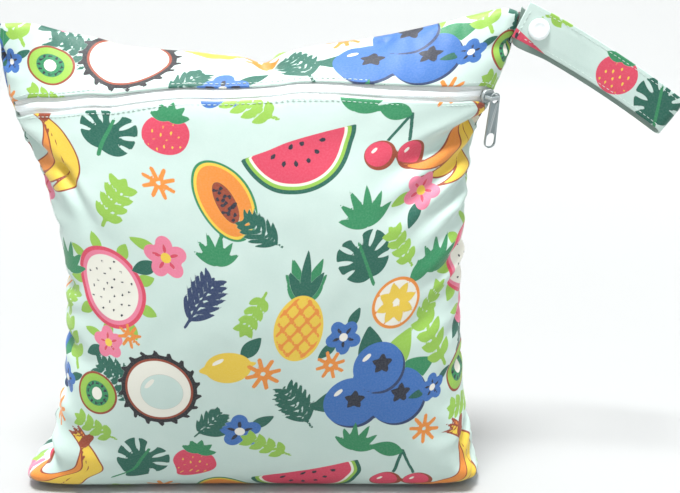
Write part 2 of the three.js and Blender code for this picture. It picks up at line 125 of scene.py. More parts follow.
SIDE_SEAMS = Table(("left", "right"), (
    (0.0, -1.043, 0.913), (0.035, -1.021, 0.895), (0.06, -0.925, 0.876), (0.09, -0.905, 0.857),
    (0.2, -0.859, 0.816), (0.32, -0.824, 0.8), (0.43, -0.806, 0.788), (0.49, -0.797, 0.789),
    (0.61, -0.836, 0.804), (0.71, -0.899, 0.818), (0.77, -0.955, 0.83), (0.8, -0.975, 0.859),
    (0.85, -1.004, 0.905), (0.92, -1.019, 0.958), (1.02, -1.01, 1.006),
))
TOP_SEAM = Table(("up",), (
    (0.0, 0.99), (0.06, 0.99), (0.12, 0.975), (0.19, 0.961), (0.24, 0.946), (0.38, 0.933),
    (0.46, 0.925), (0.55, 0.932), (0.6, 0.943), (0.73, 0.963), (0.81, 0.98), (0.92, 1.009),
    (0.97, 1.02), (1.0, 1.012),
))
SECTION_COLUMNS = ("reach", "up", "pinch", "spread")
FRONT_SECTION = Table(SECTION_COLUMNS, (
    (0.0, 0.0, 0.0, 0.15, 0.3), (0.071, 0.57, 0.0, 0.26, 0.3), (0.13, 0.74, 0.027, 0.26, 0.35),
    (0.188, 0.793, 0.094, 0.3, 0.4), (0.325, 0.94, 0.262, 0.5, 0.6), (0.489, 0.993, 0.468, 0.62, 1.0),
    (0.652, 0.945, 0.674, 0.75, 1.6), (0.758, 0.853, 0.805, 1.15, 2.6), (0.855, 0.728, 0.925, 1.55, 4.0),
    (0.917, 0.457, 0.974, 1.7, 4.5), (1.0, 0.0, 1.0, 1.8, 5.0),
))
BACK_SECTION = Table(SECTION_COLUMNS, (
    (0.0, 0.0, 0.0, 0.15, 0.3), (0.071, 0.46, 0.0, 0.15, 0.3), (0.13, 0.76, 0.03, 0.2, 0.35),
    (0.188, 0.89, 0.1, 0.3, 0.4), (0.325, 0.98, 0.265, 0.5, 0.6), (0.489, 1.0, 0.47, 0.62, 1.0),
    (0.652, 0.95, 0.676, 0.75, 1.6), (0.758, 0.85, 0.808, 1.15, 2.6), (0.855, 0.68, 0.92, 1.55, 4.0),
    (0.93, 0.4, 0.975, 1.7, 4.5), (1.0, 0.0, 1.0, 1.8, 5.0),
))
ZIP_LINE = Table(("cloth",), (
    (0.0, 0.826), (0.1, 0.844), (0.3, 0.865), (0.55, 0.868), (0.8, 0.856), (1.0, 0.833),
))


@dataclass(frozen=True)
class Fold:
    """A soft valley in the cloth, deepest at its first end.

    Attributes:
        start: First end as shares of the half width and the height, seen from the front.
        end: Last end in the same shares.
        width: Width as a share of the half width.
        depth: Depth as a share of the belly.
    """

    start: tuple[float, float]
    end: tuple[float, float]
    width: float
    depth: float


FRONT_FOLDS = (
    Fold((-0.99, 0.79), (-0.7, 0.58), 0.05, 0.1), Fold((-0.88, 0.74), (-0.72, 0.5), 0.045, 0.07),
    Fold((-0.9, 0.4), (-0.62, 0.43), 0.04, 0.06), Fold((-0.92, 0.3), (-0.6, 0.33), 0.04, 0.05),
    Fold((-0.93, 0.12), (-0.95, 0.02), 0.04, 0.16), Fold((-0.86, 0.16), (-0.55, 0.1), 0.05, 0.06),
    Fold((0.84, 0.77), (0.5, 0.62), 0.05, 0.11), Fold((0.82, 0.69), (0.52, 0.56), 0.045, 0.08),
    Fold((0.81, 0.62), (0.56, 0.52), 0.04, 0.07), Fold((0.8, 0.45), (0.5, 0.38), 0.045, 0.07),
    Fold((0.8, 0.54), (0.56, 0.44), 0.04, 0.05), Fold((0.88, 0.1), (0.7, 0.03), 0.04, 0.1),
    Fold((0.01, 0.93), (0.03, 0.9), 0.08, 0.06),
)
BACK_FOLDS = (
    Fold((-0.9, 0.76), (-0.5, 0.6), 0.05, 0.12), Fold((-0.85, 0.5), (-0.5, 0.44), 0.045, 0.08),
    Fold((-0.9, 0.14), (-0.55, 0.2), 0.05, 0.1), Fold((0.82, 0.74), (0.5, 0.56), 0.05, 0.12),
    Fold((0.8, 0.4), (0.5, 0.36), 0.045, 0.08), Fold((0.84, 0.12), (0.55, 0.2), 0.05, 0.1),
    Fold((0.05, 0.91), (0.0, 0.8), 0.07, 0.08),
)


@dataclass(frozen=True)
class Crease:
    """A small crease with soft shoulders, placed in cloth millimetres, deepest at its first end.

    Attributes:
        start: First end, across from the middle and up from the base seam.
        end: Last end.
        width: Half width of the valley.
        depth: Depth of the valley.
    """

    start: tuple[float, float]
    end: tuple[float, float]
    width: float
    depth: float

    def press(self, s: np.ndarray, t: np.ndarray) -> np.ndarray:
        """Inward press of the crease, below 0 on its shoulders.

        Args:
            s: Places across the cloth.
            t: Places up the cloth.

        Returns:
            The press in millimetres.
        """
        run = np.array(self.end) - np.array(self.start)
        off_s, off_t = s - self.start[0], t - self.start[1]
        along = np.clip((off_s * run[0] + off_t * run[1]) / float(run @ run), 0, 1)
        spread = self.width * (0.7 + 0.6 * along)
        square = ((off_s - along * run[0]) ** 2 + (off_t - along * run[1]) ** 2) / spread**2
        return self.depth * np.cos(along * np.pi / 2) ** 1.3 * (1 - 0.8 * square) * np.exp(-square / 1.4)


FRONT_CREASES = (
    Crease((-149, 272), (-92, 228), 7.2, 7.0), Crease((-104, 240), (-92, 196), 6.1, 3.5),
    Crease((-140, 252), (-112, 208), 5.5, 4.3), Crease((-149, 214), (-118, 190), 5.1, 4.0),
    Crease((-149, 166), (-108, 158), 5.8, 5.1), Crease((-149, 120), (-104, 127), 6.3, 5.8),
    Crease((-149, 143), (-122, 142), 4.5, 3.6), Crease((-149, 86), (-112, 98), 5.8, 4.2),
    Crease((-138, 58), (-146, 22), 5.0, 5.1), Crease((-149, 52), (-96, 40), 6.1, 4.3),
    Crease((149, 268), (58, 226), 8.2, 7.4), Crease((149, 252), (66, 206), 7.2, 5.9),
    Crease((149, 232), (84, 196), 6.1, 4.7), Crease((149, 212), (102, 188), 5.0, 3.5),
    Crease((149, 188), (92, 160), 5.5, 4.3), Crease((149, 168), (84, 146), 6.1, 4.7),
    Crease((149, 138), (108, 128), 4.4, 3.1), Crease((149, 104), (106, 106), 5.0, 3.2),
    Crease((149, 66), (98, 50), 6.1, 4.3), Crease((140, 40), (112, 20), 5.0, 3.9),
    Crease((4, 332), (12, 306), 7.7, 5.1), Crease((-52, 332), (-44, 312), 5.5, 2.6),
    Crease((-148, 318), (-112, 304), 5.5, 3.5), Crease((148, 318), (104, 306), 5.5, 3.5),
    Crease((62, 332), (54, 314), 5.5, 2.3),
)
BACK_CREASES = (
    Crease((-149, 262), (-70, 226), 7.7, 7.0), Crease((-149, 232), (-90, 200), 5.5, 4.3),
    Crease((-149, 176), (-100, 164), 5.0, 3.5), Crease((-149, 130), (-104, 134), 5.5, 3.9),
    Crease((-149, 70), (-96, 56), 6.1, 4.3), Crease((149, 266), (66, 224), 7.7, 7.0),
    Crease((149, 240), (88, 202), 6.1, 4.7), Crease((149, 190), (96, 168), 5.5, 3.9),
    Crease((149, 146), (104, 140), 5.0, 3.5), Crease((149, 84), (104, 82), 5.0, 3.5),
    Crease((149, 44), (106, 34), 5.5, 3.9), Crease((2, 332), (-8, 290), 8.8, 5.9),
    Crease((-70, 332), (-60, 306), 6.1, 3.1), Crease((76, 332), (66, 304), 6.1, 3.1),
)


def swell(across: np.ndarray, power: np.ndarray | float) -> np.ndarray:
    """Rise from 0 at both ends to 1 in the middle."""
    return np.maximum(np.sin(np.pi * across), 1e-9) ** power


def smooth(value: np.ndarray, low: float, high: float) -> np.ndarray:
    """Smooth step from 0 at low to 1 at high."""
    t = np.clip((value - low) / (high - low), 0, 1)
    return t * t * (3 - 2 * t)


def unit(vectors: np.ndarray) -> np.ndarray:
    """Vectors scaled to length one."""
    return vectors / np.maximum(np.linalg.norm(vectors, axis=-1, keepdims=True), 1e-12)


@dataclass
class BagForm:
    """The filled bag's outer form in millimetres, from shares across and along the cloth."""

    half_width: float = 150.0
    height: float = 290.0
    belly: dict[Side, float] = field(default_factory=lambda: {Side.FRONT: 60.0, Side.BACK: 48.0})
    seam_gap: float = 0.24
    base_seam_back: float = 26.0
    top_seam_back: float = 3.0
    ear_lift: float = 3.0
    ear_loft: float = 3.2
    rim_round: float = 5.0
    base_rim: float = 0.02
    notch_place: float = 1.0
    notch_drop: float = 5.0
    notch_width: float = 9.0
    flat_width: float = 300.0
    flat_height: float = 334.0

    def width_share(self, across: np.ndarray) -> np.ndarray:
        """Share of the width at a share across the cloth."""
        return (1 - np.cos(np.pi * np.clip(across, 0, 1))) / 2

    def fold_press(self, folds: Sequence[Fold], belly: float, x: np.ndarray, up: np.ndarray) -> np.ndarray:
        """Inward press of all folds.

        Args:
            folds: The panel's folds.
            belly: The panel's belly.
            x: Places across, seen from the front.
            up: Heights.

        Returns:
            The press in millimetres.
        """
        press = np.zeros_like(x)
        for fold in folds:
            from_x, from_up = fold.start[0] * self.half_width, fold.start[1] * self.height
            run_x, run_up = fold.end[0] * self.half_width - from_x, fold.end[1] * self.height - from_up
            off_x, off_up = x - from_x, up - from_up
            along = np.clip((off_x * run_x + off_up * run_up) / (run_x**2 + run_up**2), 0, 1)
            aside = np.hypot(off_x - along * run_x, off_up - along * run_up) / (fold.width * self.half_width)
            press += fold.depth * belly * np.cos(along * np.pi / 2) * np.exp(-aside * aside)
        return press

    def point(self, side: Side, across: np.ndarray, cloth: np.ndarray) -> np.ndarray:
        """Points of a panel's outer face.

        Args:
            side: The panel.
            across: Shares across the cloth, left to right seen from the front.
            cloth: Shares along the cloth, base seam to top seam.

        Returns:
            An array of points, in millimetres.
        """
        section = FRONT_SECTION if side is Side.FRONT else BACK_SECTION
        folds = FRONT_FOLDS if side is Side.FRONT else BACK_FOLDS
        u, v = np.clip(across, 0, 1), np.clip(cloth, 0, 1)
        middle = np.maximum(section.read("up", v), 0)
        share = swell(u, section.read("spread", v))
        climb = v + (middle - v) * share
        base = self.ear_lift * (1 - np.clip(np.minimum(u, 1 - u) / 0.12, 0, 1)) ** 2
        top = self.height * TOP_SEAM.read("up", self.width_share(u))
        up = base + (top - base) * climb
        left = self.half_width * SIDE_SEAMS.read("left", up / self.height)
        right = self.half_width * SIDE_SEAMS.read("right", up / self.height)
        x = left + (right - left) * self.width_share(u)
        back = swell(u, 2) * (self.base_seam_back * (1 - v) ** 3 + self.top_seam_back * v)
        rim = self.rim(np.minimum(x - left, right - x)) * self.rim(top - up)
        loft = self.ear_loft * rim * np.sqrt(np.minimum(v / self.base_rim, 1))
        belly = self.belly[side]
        bulge = belly * section.read("reach", v) * swell(u, section.read("pinch", v)) + loft
        press = self.fold_press(folds, belly, x, up) * rim * swell(u, 0.5) * np.minimum(climb / 0.05, 1)
        notch = self.notch_drop * np.exp(-(((x - self.notch_place) / self.notch_width) ** 2)) * v**24
        y = back + side.value * (self.seam_gap / 2 + np.maximum(bulge - press, 0))
        return np.stack([x, y, up - notch], axis=-1)

    def rim(self, distance: np.ndarray) -> np.ndarray:
        """Quarter round from 0 at a seam to 1 past its rim."""
        return np.sqrt(np.maximum(1 - (1 - np.clip(distance / self.rim_round, 0, 1)) ** 2, 0))

    def normal(self, side: Side, across: np.ndarray, cloth: np.ndarray) -> np.ndarray:
        """Outward directions of a panel.

        Args:
            side: The panel.
            across: Shares across the cloth.
            cloth: Shares along the cloth.

        Returns:
            Unit vectors.
        """
        step = 0.004
        right = self.point(side, np.minimum(across + step, 1), cloth)
        left = self.point(side, np.maximum(across - step, 0), cloth)
        high = self.point(side, across, np.minimum(cloth + step, 1))
        low = self.point(side, across, np.maximum(cloth - step, 0))
        return unit(np.cross(right - left, high - low) * -side.value)

    def zip_share(self, across: np.ndarray, distance: np.ndarray | float) -> np.ndarray:
        """Share along the cloth of a line beside the zip.

        Args:
            across: Shares across the cloth.
            distance: Distance up the cloth from the zip's middle, in millimetres.

        Returns:
            Shares along the cloth.
        """
        middle = ZIP_LINE.read("cloth", self.width_share(across))
        step = 0.005
        ahead = self.point(Side.FRONT, across, middle + step)
        behind = self.point(Side.FRONT, across, middle - step)
        return middle + distance * 2 * step / np.linalg.norm(ahead - behind, axis=-1)


class Pen:
    """Lays inks on cloth points as signed distances, each new shape over the ones before."""

    def __init__(self, places: np.ndarray) -> None:
        """Starts with bare cloth.

        Args:
            places: Cloth coordinates of the points, in millimetres.
        """
        self.places = places
        self.far = 9.0
        self.fields = {ink: np.full(len(places), self.far) for ink in Ink}
        self.window = np.arange(len(places))
        self.x = places[:, 0]
        self.y = places[:, 1]
        self.size = 1.0

    def aim(self, centre: tuple[float, float], turn: float, size: float, reach: float) -> bool:
        """Moves to a motif's own coordinates.

        Args:
            centre: The motif's middle on the cloth.
            turn: Its turn in degrees.
            size: Its scale.
            reach: How far it reaches at scale 1.

        Returns:
            Whether any point lies within its reach.
        """
        off = self.places - np.array(centre)
        self.window = np.nonzero(np.abs(off).max(axis=1) < reach * size)[0]
        if not len(self.window):
            return False
        angle = math.radians(turn)
        dx, dy = off[self.window, 0], off[self.window, 1]
        self.x = (dx * math.cos(angle) + dy * math.sin(angle)) / size
        self.y = (dy * math.cos(angle) - dx * math.sin(angle)) / size
        self.size = size
        return True

    def lay(self, ink: Ink | None, distance: np.ndarray) -> None:
        """Lays one shape over the others.

        Args:
            ink: The ink, or None for bare cloth.
            distance: Signed distance to the shape at the aimed points, negative inside.
        """
        scaled = distance * self.size
        later = ink is None
        for other, values in self.fields.items():
            if other is ink:
                values[self.window] = np.minimum(values[self.window], scaled)
                later = True
            elif later:
                values[self.window] = np.maximum(values[self.window], -scaled)

    def disc(self, x: float, y: float, radius: float) -> np.ndarray:
        """Signed distance to a disc."""
        return np.hypot(self.x - x, self.y - y) - radius

    def oval(self, x: float, y: float, wide: float, tall: float, turn: float = 0.0) -> np.ndarray:
        """Signed distance to an oval.

        Args:
            x: Middle across.
            y: Middle up.
            wide: Half width.
            tall: Half height.
            turn: Turn in degrees.

        Returns:
            The distance, close to true near the edge.
        """
        angle = math.radians(turn)
        dx, dy = self.x - x, self.y - y
        a = dx * math.cos(angle) + dy * math.sin(angle)
        b = dy * math.cos(angle) - dx * math.sin(angle)
        reach = np.hypot(a / wide, b / tall)
        steep = np.maximum(np.hypot(a / wide**2, b / tall**2), 1e-6)
        return np.maximum(reach * (reach - 1) / steep, -min(wide, tall))

    def stroke(self, start: Sequence[float], end: Sequence[float], thick: float, thin: float) -> np.ndarray:
        """Signed distance to a round-ended stroke that may taper.

        Args:
            start: First end.
            end: Last end.
            thick: Radius at the first end.
            thin: Radius at the last end.

        Returns:
            The distance.
        """
        run = np.array(end, dtype=float) - np.array(start, dtype=float)
        dx, dy = self.x - start[0], self.y - start[1]
        along = np.clip((dx * run[0] + dy * run[1]) / float(run @ run), 0, 1)
        return np.hypot(dx - along * run[0], dy - along * run[1]) - (thick + (thin - thick) * along)

    def leaf(self, root: Sequence[float], turn: float, length: float, wide: float) -> np.ndarray:
        """Signed distance to a pointed leaf.

        Args:
            root: Where it starts.
            turn: Its direction in degrees.
            length: Its length.
            wide: Its half width.

        Returns:
            The distance.
        """
        angle = math.radians(turn)
        dx, dy = self.x - root[0], self.y - root[1]
        along = (dx * math.cos(angle) + dy * math.sin(angle)) / length
        aside = np.abs(dy * math.cos(angle) - dx * math.sin(angle))
        inside = np.clip(along, 0, 1)
        edge = wide * np.sin(np.pi * inside**0.85) ** 0.9
        past = np.abs(along - inside) * length
        slant = 1 / math.hypot(1, 2.2 * wide / length)
        return np.where(past > 0, np.hypot(aside, past), (aside - edge) * slant)


def ring(count: int, start: float = 0.0) -> list[float]:
    """Even angles in degrees round a full turn."""
    return [start + 360 * index / count for index in range(count)]


def polar(radius: float, turn: float) -> tuple[float, float]:
    """A place at a distance and direction in degrees."""
    return radius * math.cos(math.radians(turn)), radius * math.sin(math.radians(turn))


class Motifs:
    """Motifs of the print: fruit, leaves and flowers."""

    def pineapple(self, pen: Pen) -> None:
        """A whole pineapple with a leafy crown.

        Args:
            pen: The pen, aimed at the motif.
        """
        for turn, length in ((52, 19), (128, 19), (70, 25), (110, 25), (38, 13), (142, 13)):
            pen.lay(Ink.LEAF, pen.leaf((0, 6), turn, length, 3.4))
        for turn, length in ((90, 29), (60, 20), (120, 20)):
            pen.lay(Ink.LEAF_DARK, pen.leaf((0, 5), turn, length, 2.9))
        body = pen.oval(0, -10, 14, 19)
        pen.lay(Ink.YELLOW, body)
        for slope in (1, -1):
            stripe = (pen.x * 0.72 + slope * pen.y * 0.62) / 6.4
            line = np.abs(stripe - np.round(stripe)) * 6.4 - 0.75
            pen.lay(Ink.ORANGE, np.maximum(line, body + 1.2))

    def melon(self, pen: Pen) -> None:
        """A slice of watermelon.

        Args:
            pen: The pen, aimed at the motif.
        """
        cut = pen.y - 10
        pen.lay(Ink.LEAF_DARK, np.maximum(pen.disc(0, 10, 31), cut))
        pen.lay(Ink.LIME, np.maximum(pen.disc(0, 10, 28.6), cut))
        pen.lay(Ink.RIND, np.maximum(pen.disc(0, 10, 26.6), cut))
        pen.lay(Ink.ROSE, np.maximum(pen.disc(0, 10, 25), cut))
        for turn, radius in ((205, 17), (232, 18), (257, 17.5), (283, 18), (308, 17.5), (335, 17), (240, 8), (300, 8)):
            x, y = polar(radius, turn)
            pen.lay(Ink.SEED, pen.leaf((x, y + 12), turn - 180, 4.2, 1.3))

    def berries(self, pen: Pen) -> None:
        """A cluster of large blue berries with leaves."""
        for turn, ink in ((200, Ink.LEAF_DARK), (20, Ink.LEAF), (100, Ink.LEAF_DARK), (60, Ink.LIME)):
            pen.lay(ink, pen.leaf(polar(8, turn), turn, 31, 8))
        for x, y, radius in ((-13, -9, 16), (14, -6, 17.5), (1, 13, 15)):
            pen.lay(Ink.NAVY, pen.disc(x + 1.4, y - 1.4, radius))
            pen.lay(Ink.BLUE, pen.disc(x, y, radius))
            for turn in ring(5, 90):
                pen.lay(Ink.SEED, pen.leaf((x + 2, y + 2), turn, 6.6, 2))
            pen.lay(Ink.CREAM, pen.oval(x - radius * 0.5, y + radius * 0.42, 1.3, 3.2, -45))

    def dragon_fruit(self, pen: Pen) -> None:
        """Half a dragon fruit.

        Args:
            pen: The pen, aimed at the motif.
        """
        for turn in ring(9, 10):
            x, y = polar(21, turn)
            pen.lay(Ink.LIME, pen.leaf((x * 0.86, y), turn, 13, 3.6))
        pen.lay(Ink.ROSE, pen.oval(0, 0, 22, 25))
        pen.lay(Ink.PINK, pen.oval(0, 0, 19.6, 22.6))
        pen.lay(Ink.CREAM, pen.oval(0, 0, 17, 20))
        for index in range(26):
            x, y = polar(3.1 * math.sqrt(index), index * 137.5)
            pen.lay(Ink.SEED, pen.disc(x, y * 1.16, 0.95))

    def coconut(self, pen: Pen) -> None:
        """Half a coconut over a palm leaf.

        Args:
            pen: The pen, aimed at the motif.
        """
        self.frond(pen, Ink.LEAF_DARK, (-4, -6), 150, 40)
        pen.lay(Ink.BLACK, pen.disc(0, 0, 23))
        for turn in ring(18):
            pen.lay(Ink.BLACK, pen.stroke(polar(21, turn), polar(24.7, turn + 6), 1.5, 1.1))
        pen.lay(Ink.RUST, pen.disc(0, 0, 20.6))
        pen.lay(Ink.CREAM, pen.disc(0, 0, 19.2))
        pen.lay(None, pen.oval(1.5, -1.5, 13, 12))
        pen.lay(Ink.CREAM, pen.oval(-5, 4.5, 1.4, 4.4, -48))

    def bananas(self, pen: Pen) -> None:
        """A bunch of three bananas."""
        for lean, ink in ((-17, Ink.ORANGE), (0, Ink.YELLOW), (17, Ink.YELLOW)):
            angle = math.radians(lean)
            x = pen.x * math.cos(angle) + (pen.y - 20) * math.sin(angle)
            y = (pen.y - 20) * math.cos(angle) - pen.x * math.sin(angle)
            outer = np.hypot(x + 16, y + 19) - 27
            inner = -(np.hypot(x + 26.5, y + 17) - 29)
            shape = np.maximum(outer, inner)
            pen.lay(Ink.RUST, shape - 0.9)
            pen.lay(ink, shape)
        pen.lay(Ink.RUST, pen.stroke((-2, 22), (1, 28), 3, 2.2))

    def papaya(self, pen: Pen) -> None:
        """Half a papaya with dark seeds.

        Args:
            pen: The pen, aimed at the motif.
        """
        pen.lay(Ink.LEAF, pen.oval(0, 0, 18.5, 27))
        pen.lay(Ink.YELLOW, pen.oval(0, 0, 17, 25.5))
        pen.lay(Ink.ORANGE, pen.oval(0, 0, 15.2, 23.6))
        pen.lay(Ink.RUST, pen.oval(0, -1, 6.4, 14))
        for index in range(16):
            x, y = polar(1.5 * math.sqrt(index), index * 137.5)
            pen.lay(Ink.SEED, pen.disc(x, y * 2 - 1, 1.35))

    def citrus(self, pen: Pen) -> None:
        """Half an orange.

        Args:
            pen: The pen, aimed at the motif.
        """
        pen.lay(Ink.LEAF, pen.leaf((8, 10), 40, 20, 5))
        pen.lay(Ink.ORANGE, pen.disc(0, 0, 15))
        pen.lay(Ink.CREAM, pen.disc(0, 0, 13.2))
        for turn in ring(8, 12):
            pen.lay(Ink.YELLOW, pen.leaf(polar(2.0, turn), turn, 10.6, 2.9))

    def kiwi(self, pen: Pen) -> None:
        """A slice of kiwi.

        Args:
            pen: The pen, aimed at the motif.
        """
        pen.lay(Ink.RUST, pen.disc(0, 0, 14))
        pen.lay(Ink.LIME, pen.disc(0, 0, 12.6))
        pen.lay(Ink.LEAF, pen.disc(0, 0, 8.2))
        pen.lay(Ink.CREAM, pen.oval(0, 0, 3.6, 4.2))
        for turn in ring(12):
            pen.lay(Ink.SEED, pen.leaf(polar(5.1, turn), turn, 3.2, 1.0))

    def lemon(self, pen: Pen) -> None:
        """A whole lemon with a leaf.

        Args:
            pen: The pen, aimed at the motif.
        """
        pen.lay(Ink.LEAF_DARK, pen.leaf((9, 5), 35, 18, 4.6))
        body = np.minimum(pen.oval(0, 0, 14, 10), pen.leaf((-18, 0), 0, 36, 5.2))
        pen.lay(Ink.YELLOW, body)
        pen.lay(Ink.CREAM, pen.oval(-5, 4.6, 4.2, 1.2, 20))

    def cherries(self, pen: Pen) -> None:
        """Two cherries on one stem.

        Args:
            pen: The pen, aimed at the motif.
        """
        pen.lay(Ink.LEAF_DARK, pen.stroke((-7, -6), (3, 14), 0.9, 0.9))
        pen.lay(Ink.LEAF_DARK, pen.stroke((8, -8), (3, 14), 0.9, 0.9))
        pen.lay(Ink.LEAF, pen.leaf((3, 13), 160, 19, 5))
        for x, y in ((-8, -9), (9, -11)):
            pen.lay(Ink.RUST, pen.disc(x, y, 8.3))
            pen.lay(Ink.ROSE, pen.disc(x - 0.8, y + 0.8, 7))
            pen.lay(Ink.CREAM, pen.oval(x - 3, y + 3, 0.9, 2, -45))

    def strawberry(self, pen: Pen) -> None:
        """A strawberry.

        Args:
            pen: The pen, aimed at the motif.
        """
        body = np.maximum(pen.oval(0, 3, 13, 12), pen.leaf((0, 24), 270, 44, 14.5))
        pen.lay(Ink.ROSE, body)
        for index in range(14):
            x, y = polar(2.9 * math.sqrt(index + 0.4), index * 137.5)
            pen.lay(Ink.YELLOW, np.maximum(pen.oval(x * 0.9, y, 0.7, 1.2), body + 1))
        for turn in (20, 55, 90, 125, 160):
            pen.lay(Ink.LEAF, pen.leaf((0, 11), turn, 12, 2.6))

    def flower(self, pen: Pen, petals: Ink, shade: Ink, heart: Ink) -> None:
        """A flower with five round petals.

        Args:
            pen: The pen, aimed at the motif.
            petals: The petals' ink.
            shade: The marks' ink.
            heart: The heart's ink.
        """
        for turn in ring(5, 90):
            x, y = polar(7.6, turn)
            pen.lay(petals, pen.oval(x, y, 5.9, 5.2, turn))
        for turn in ring(5, 90):
            pen.lay(shade, pen.leaf(polar(2, turn), turn, 7.5, 1.2))
        pen.lay(heart, pen.disc(0, 0, 3.2))

    def pink_flower(self, pen: Pen) -> None:
        """A pink flower with two leaves.

        Args:
            pen: The pen, aimed at the motif.
        """
        pen.lay(Ink.LEAF_DARK, pen.leaf((-6, -4), 205, 19, 4.4))
        pen.lay(Ink.LIME, pen.leaf((-5, 5), 165, 17, 3.6))
        self.flower(pen, Ink.PINK, Ink.ROSE, Ink.YELLOW)

    def blue_flower(self, pen: Pen) -> None:
        """A blue flower with two leaves.

        Args:
            pen: The pen, aimed at the motif.
        """
        pen.lay(Ink.LEAF_DARK, pen.leaf((6, 3), 30, 18, 3.8))
        pen.lay(Ink.LEAF_DARK, pen.leaf((-6, 0), 190, 19, 3.8))
        self.flower(pen, Ink.BLUE, Ink.SEED, Ink.CREAM)

    def spark(self, pen: Pen) -> None:
        """A small orange spray."""
        for turn in ring(8, 12):
            pen.lay(Ink.ORANGE, pen.stroke(polar(3, turn), polar(10.8, turn), 1.5, 1.4))

    def frond(self, pen: Pen, ink: Ink, root: tuple[float, float], turn: float, length: float) -> None:
        """A feathered leaf.

        Args:
            pen: The pen.
            ink: Its ink.
            root: Where it starts.
            turn: Its direction in degrees.
            length: Its length.
        """
        tip = (root[0] + length * math.cos(math.radians(turn)), root[1] + length * math.sin(math.radians(turn)))
        pen.lay(ink, pen.stroke(root, tip, 0.95, 0.7))
        for index in range(1, 7):
            share = index / 7
            spot = (root[0] + (tip[0] - root[0]) * share, root[1] + (tip[1] - root[1]) * share)
            reach = length * (0.2 + 0.3 * math.sin(math.pi * (0.25 + 0.75 * share)))
            for hand in (-1, 1):
                pen.lay(ink, pen.leaf(spot, turn + hand * 42, reach, 1.9))

    def palm(self, pen: Pen) -> None:
        """A dark feathered leaf."""
        self.frond(pen, Ink.LEAF_DARK, (0, -20), 90, 40)

    def night_palm(self, pen: Pen) -> None:
        """A navy feathered leaf."""
        self.frond(pen, Ink.NAVY, (0, -20), 90, 40)

    def sprig(self, pen: Pen) -> None:
        """A light sprig with round leaves.

        Args:
            pen: The pen, aimed at the motif.
        """
        pen.lay(Ink.LIME, pen.stroke((0, -18), (0, 14), 1.1, 1.0))
        for index in range(4):
            for hand in (-1, 1):
                pen.lay(Ink.LIME, pen.leaf((0, -12 + 8 * index), 90 - hand * 48, 11.5, 3.1))
        pen.lay(Ink.LIME, pen.leaf((0, 12), 90, 11, 3))

    def split_leaf(self, pen: Pen) -> None:
        """A broad split leaf.

        Args:
            pen: The pen, aimed at the motif.
        """
        body = np.minimum(pen.oval(-6, 0, 13, 17, 14), pen.oval(6, 0, 13, 17, -14))
        pen.lay(Ink.LEAF_DARK, np.maximum(body, -pen.leaf((0, 26), 270, 13, 5)))
        for index in range(4):
            for hand in (0, 1):
                turn = 22 + 30 * index - 30
                way = turn if hand else 180 - turn
                root = polar(8.5, way)
                pen.lay(None, pen.leaf((root[0], root[1] - 4 + index), way, 17, 1.7))
        pen.lay(Ink.LEAF, pen.stroke((0, -22), (0, 11), 1.3, 1.1))

    def blades(self, pen: Pen) -> None:
        """A fan of narrow leaves."""
        for turn in (30, 55, 78, 102, 125, 150):
            pen.lay(Ink.LEAF, pen.leaf((0, -12), turn, 30 - abs(turn - 90) * 0.14, 3.1))


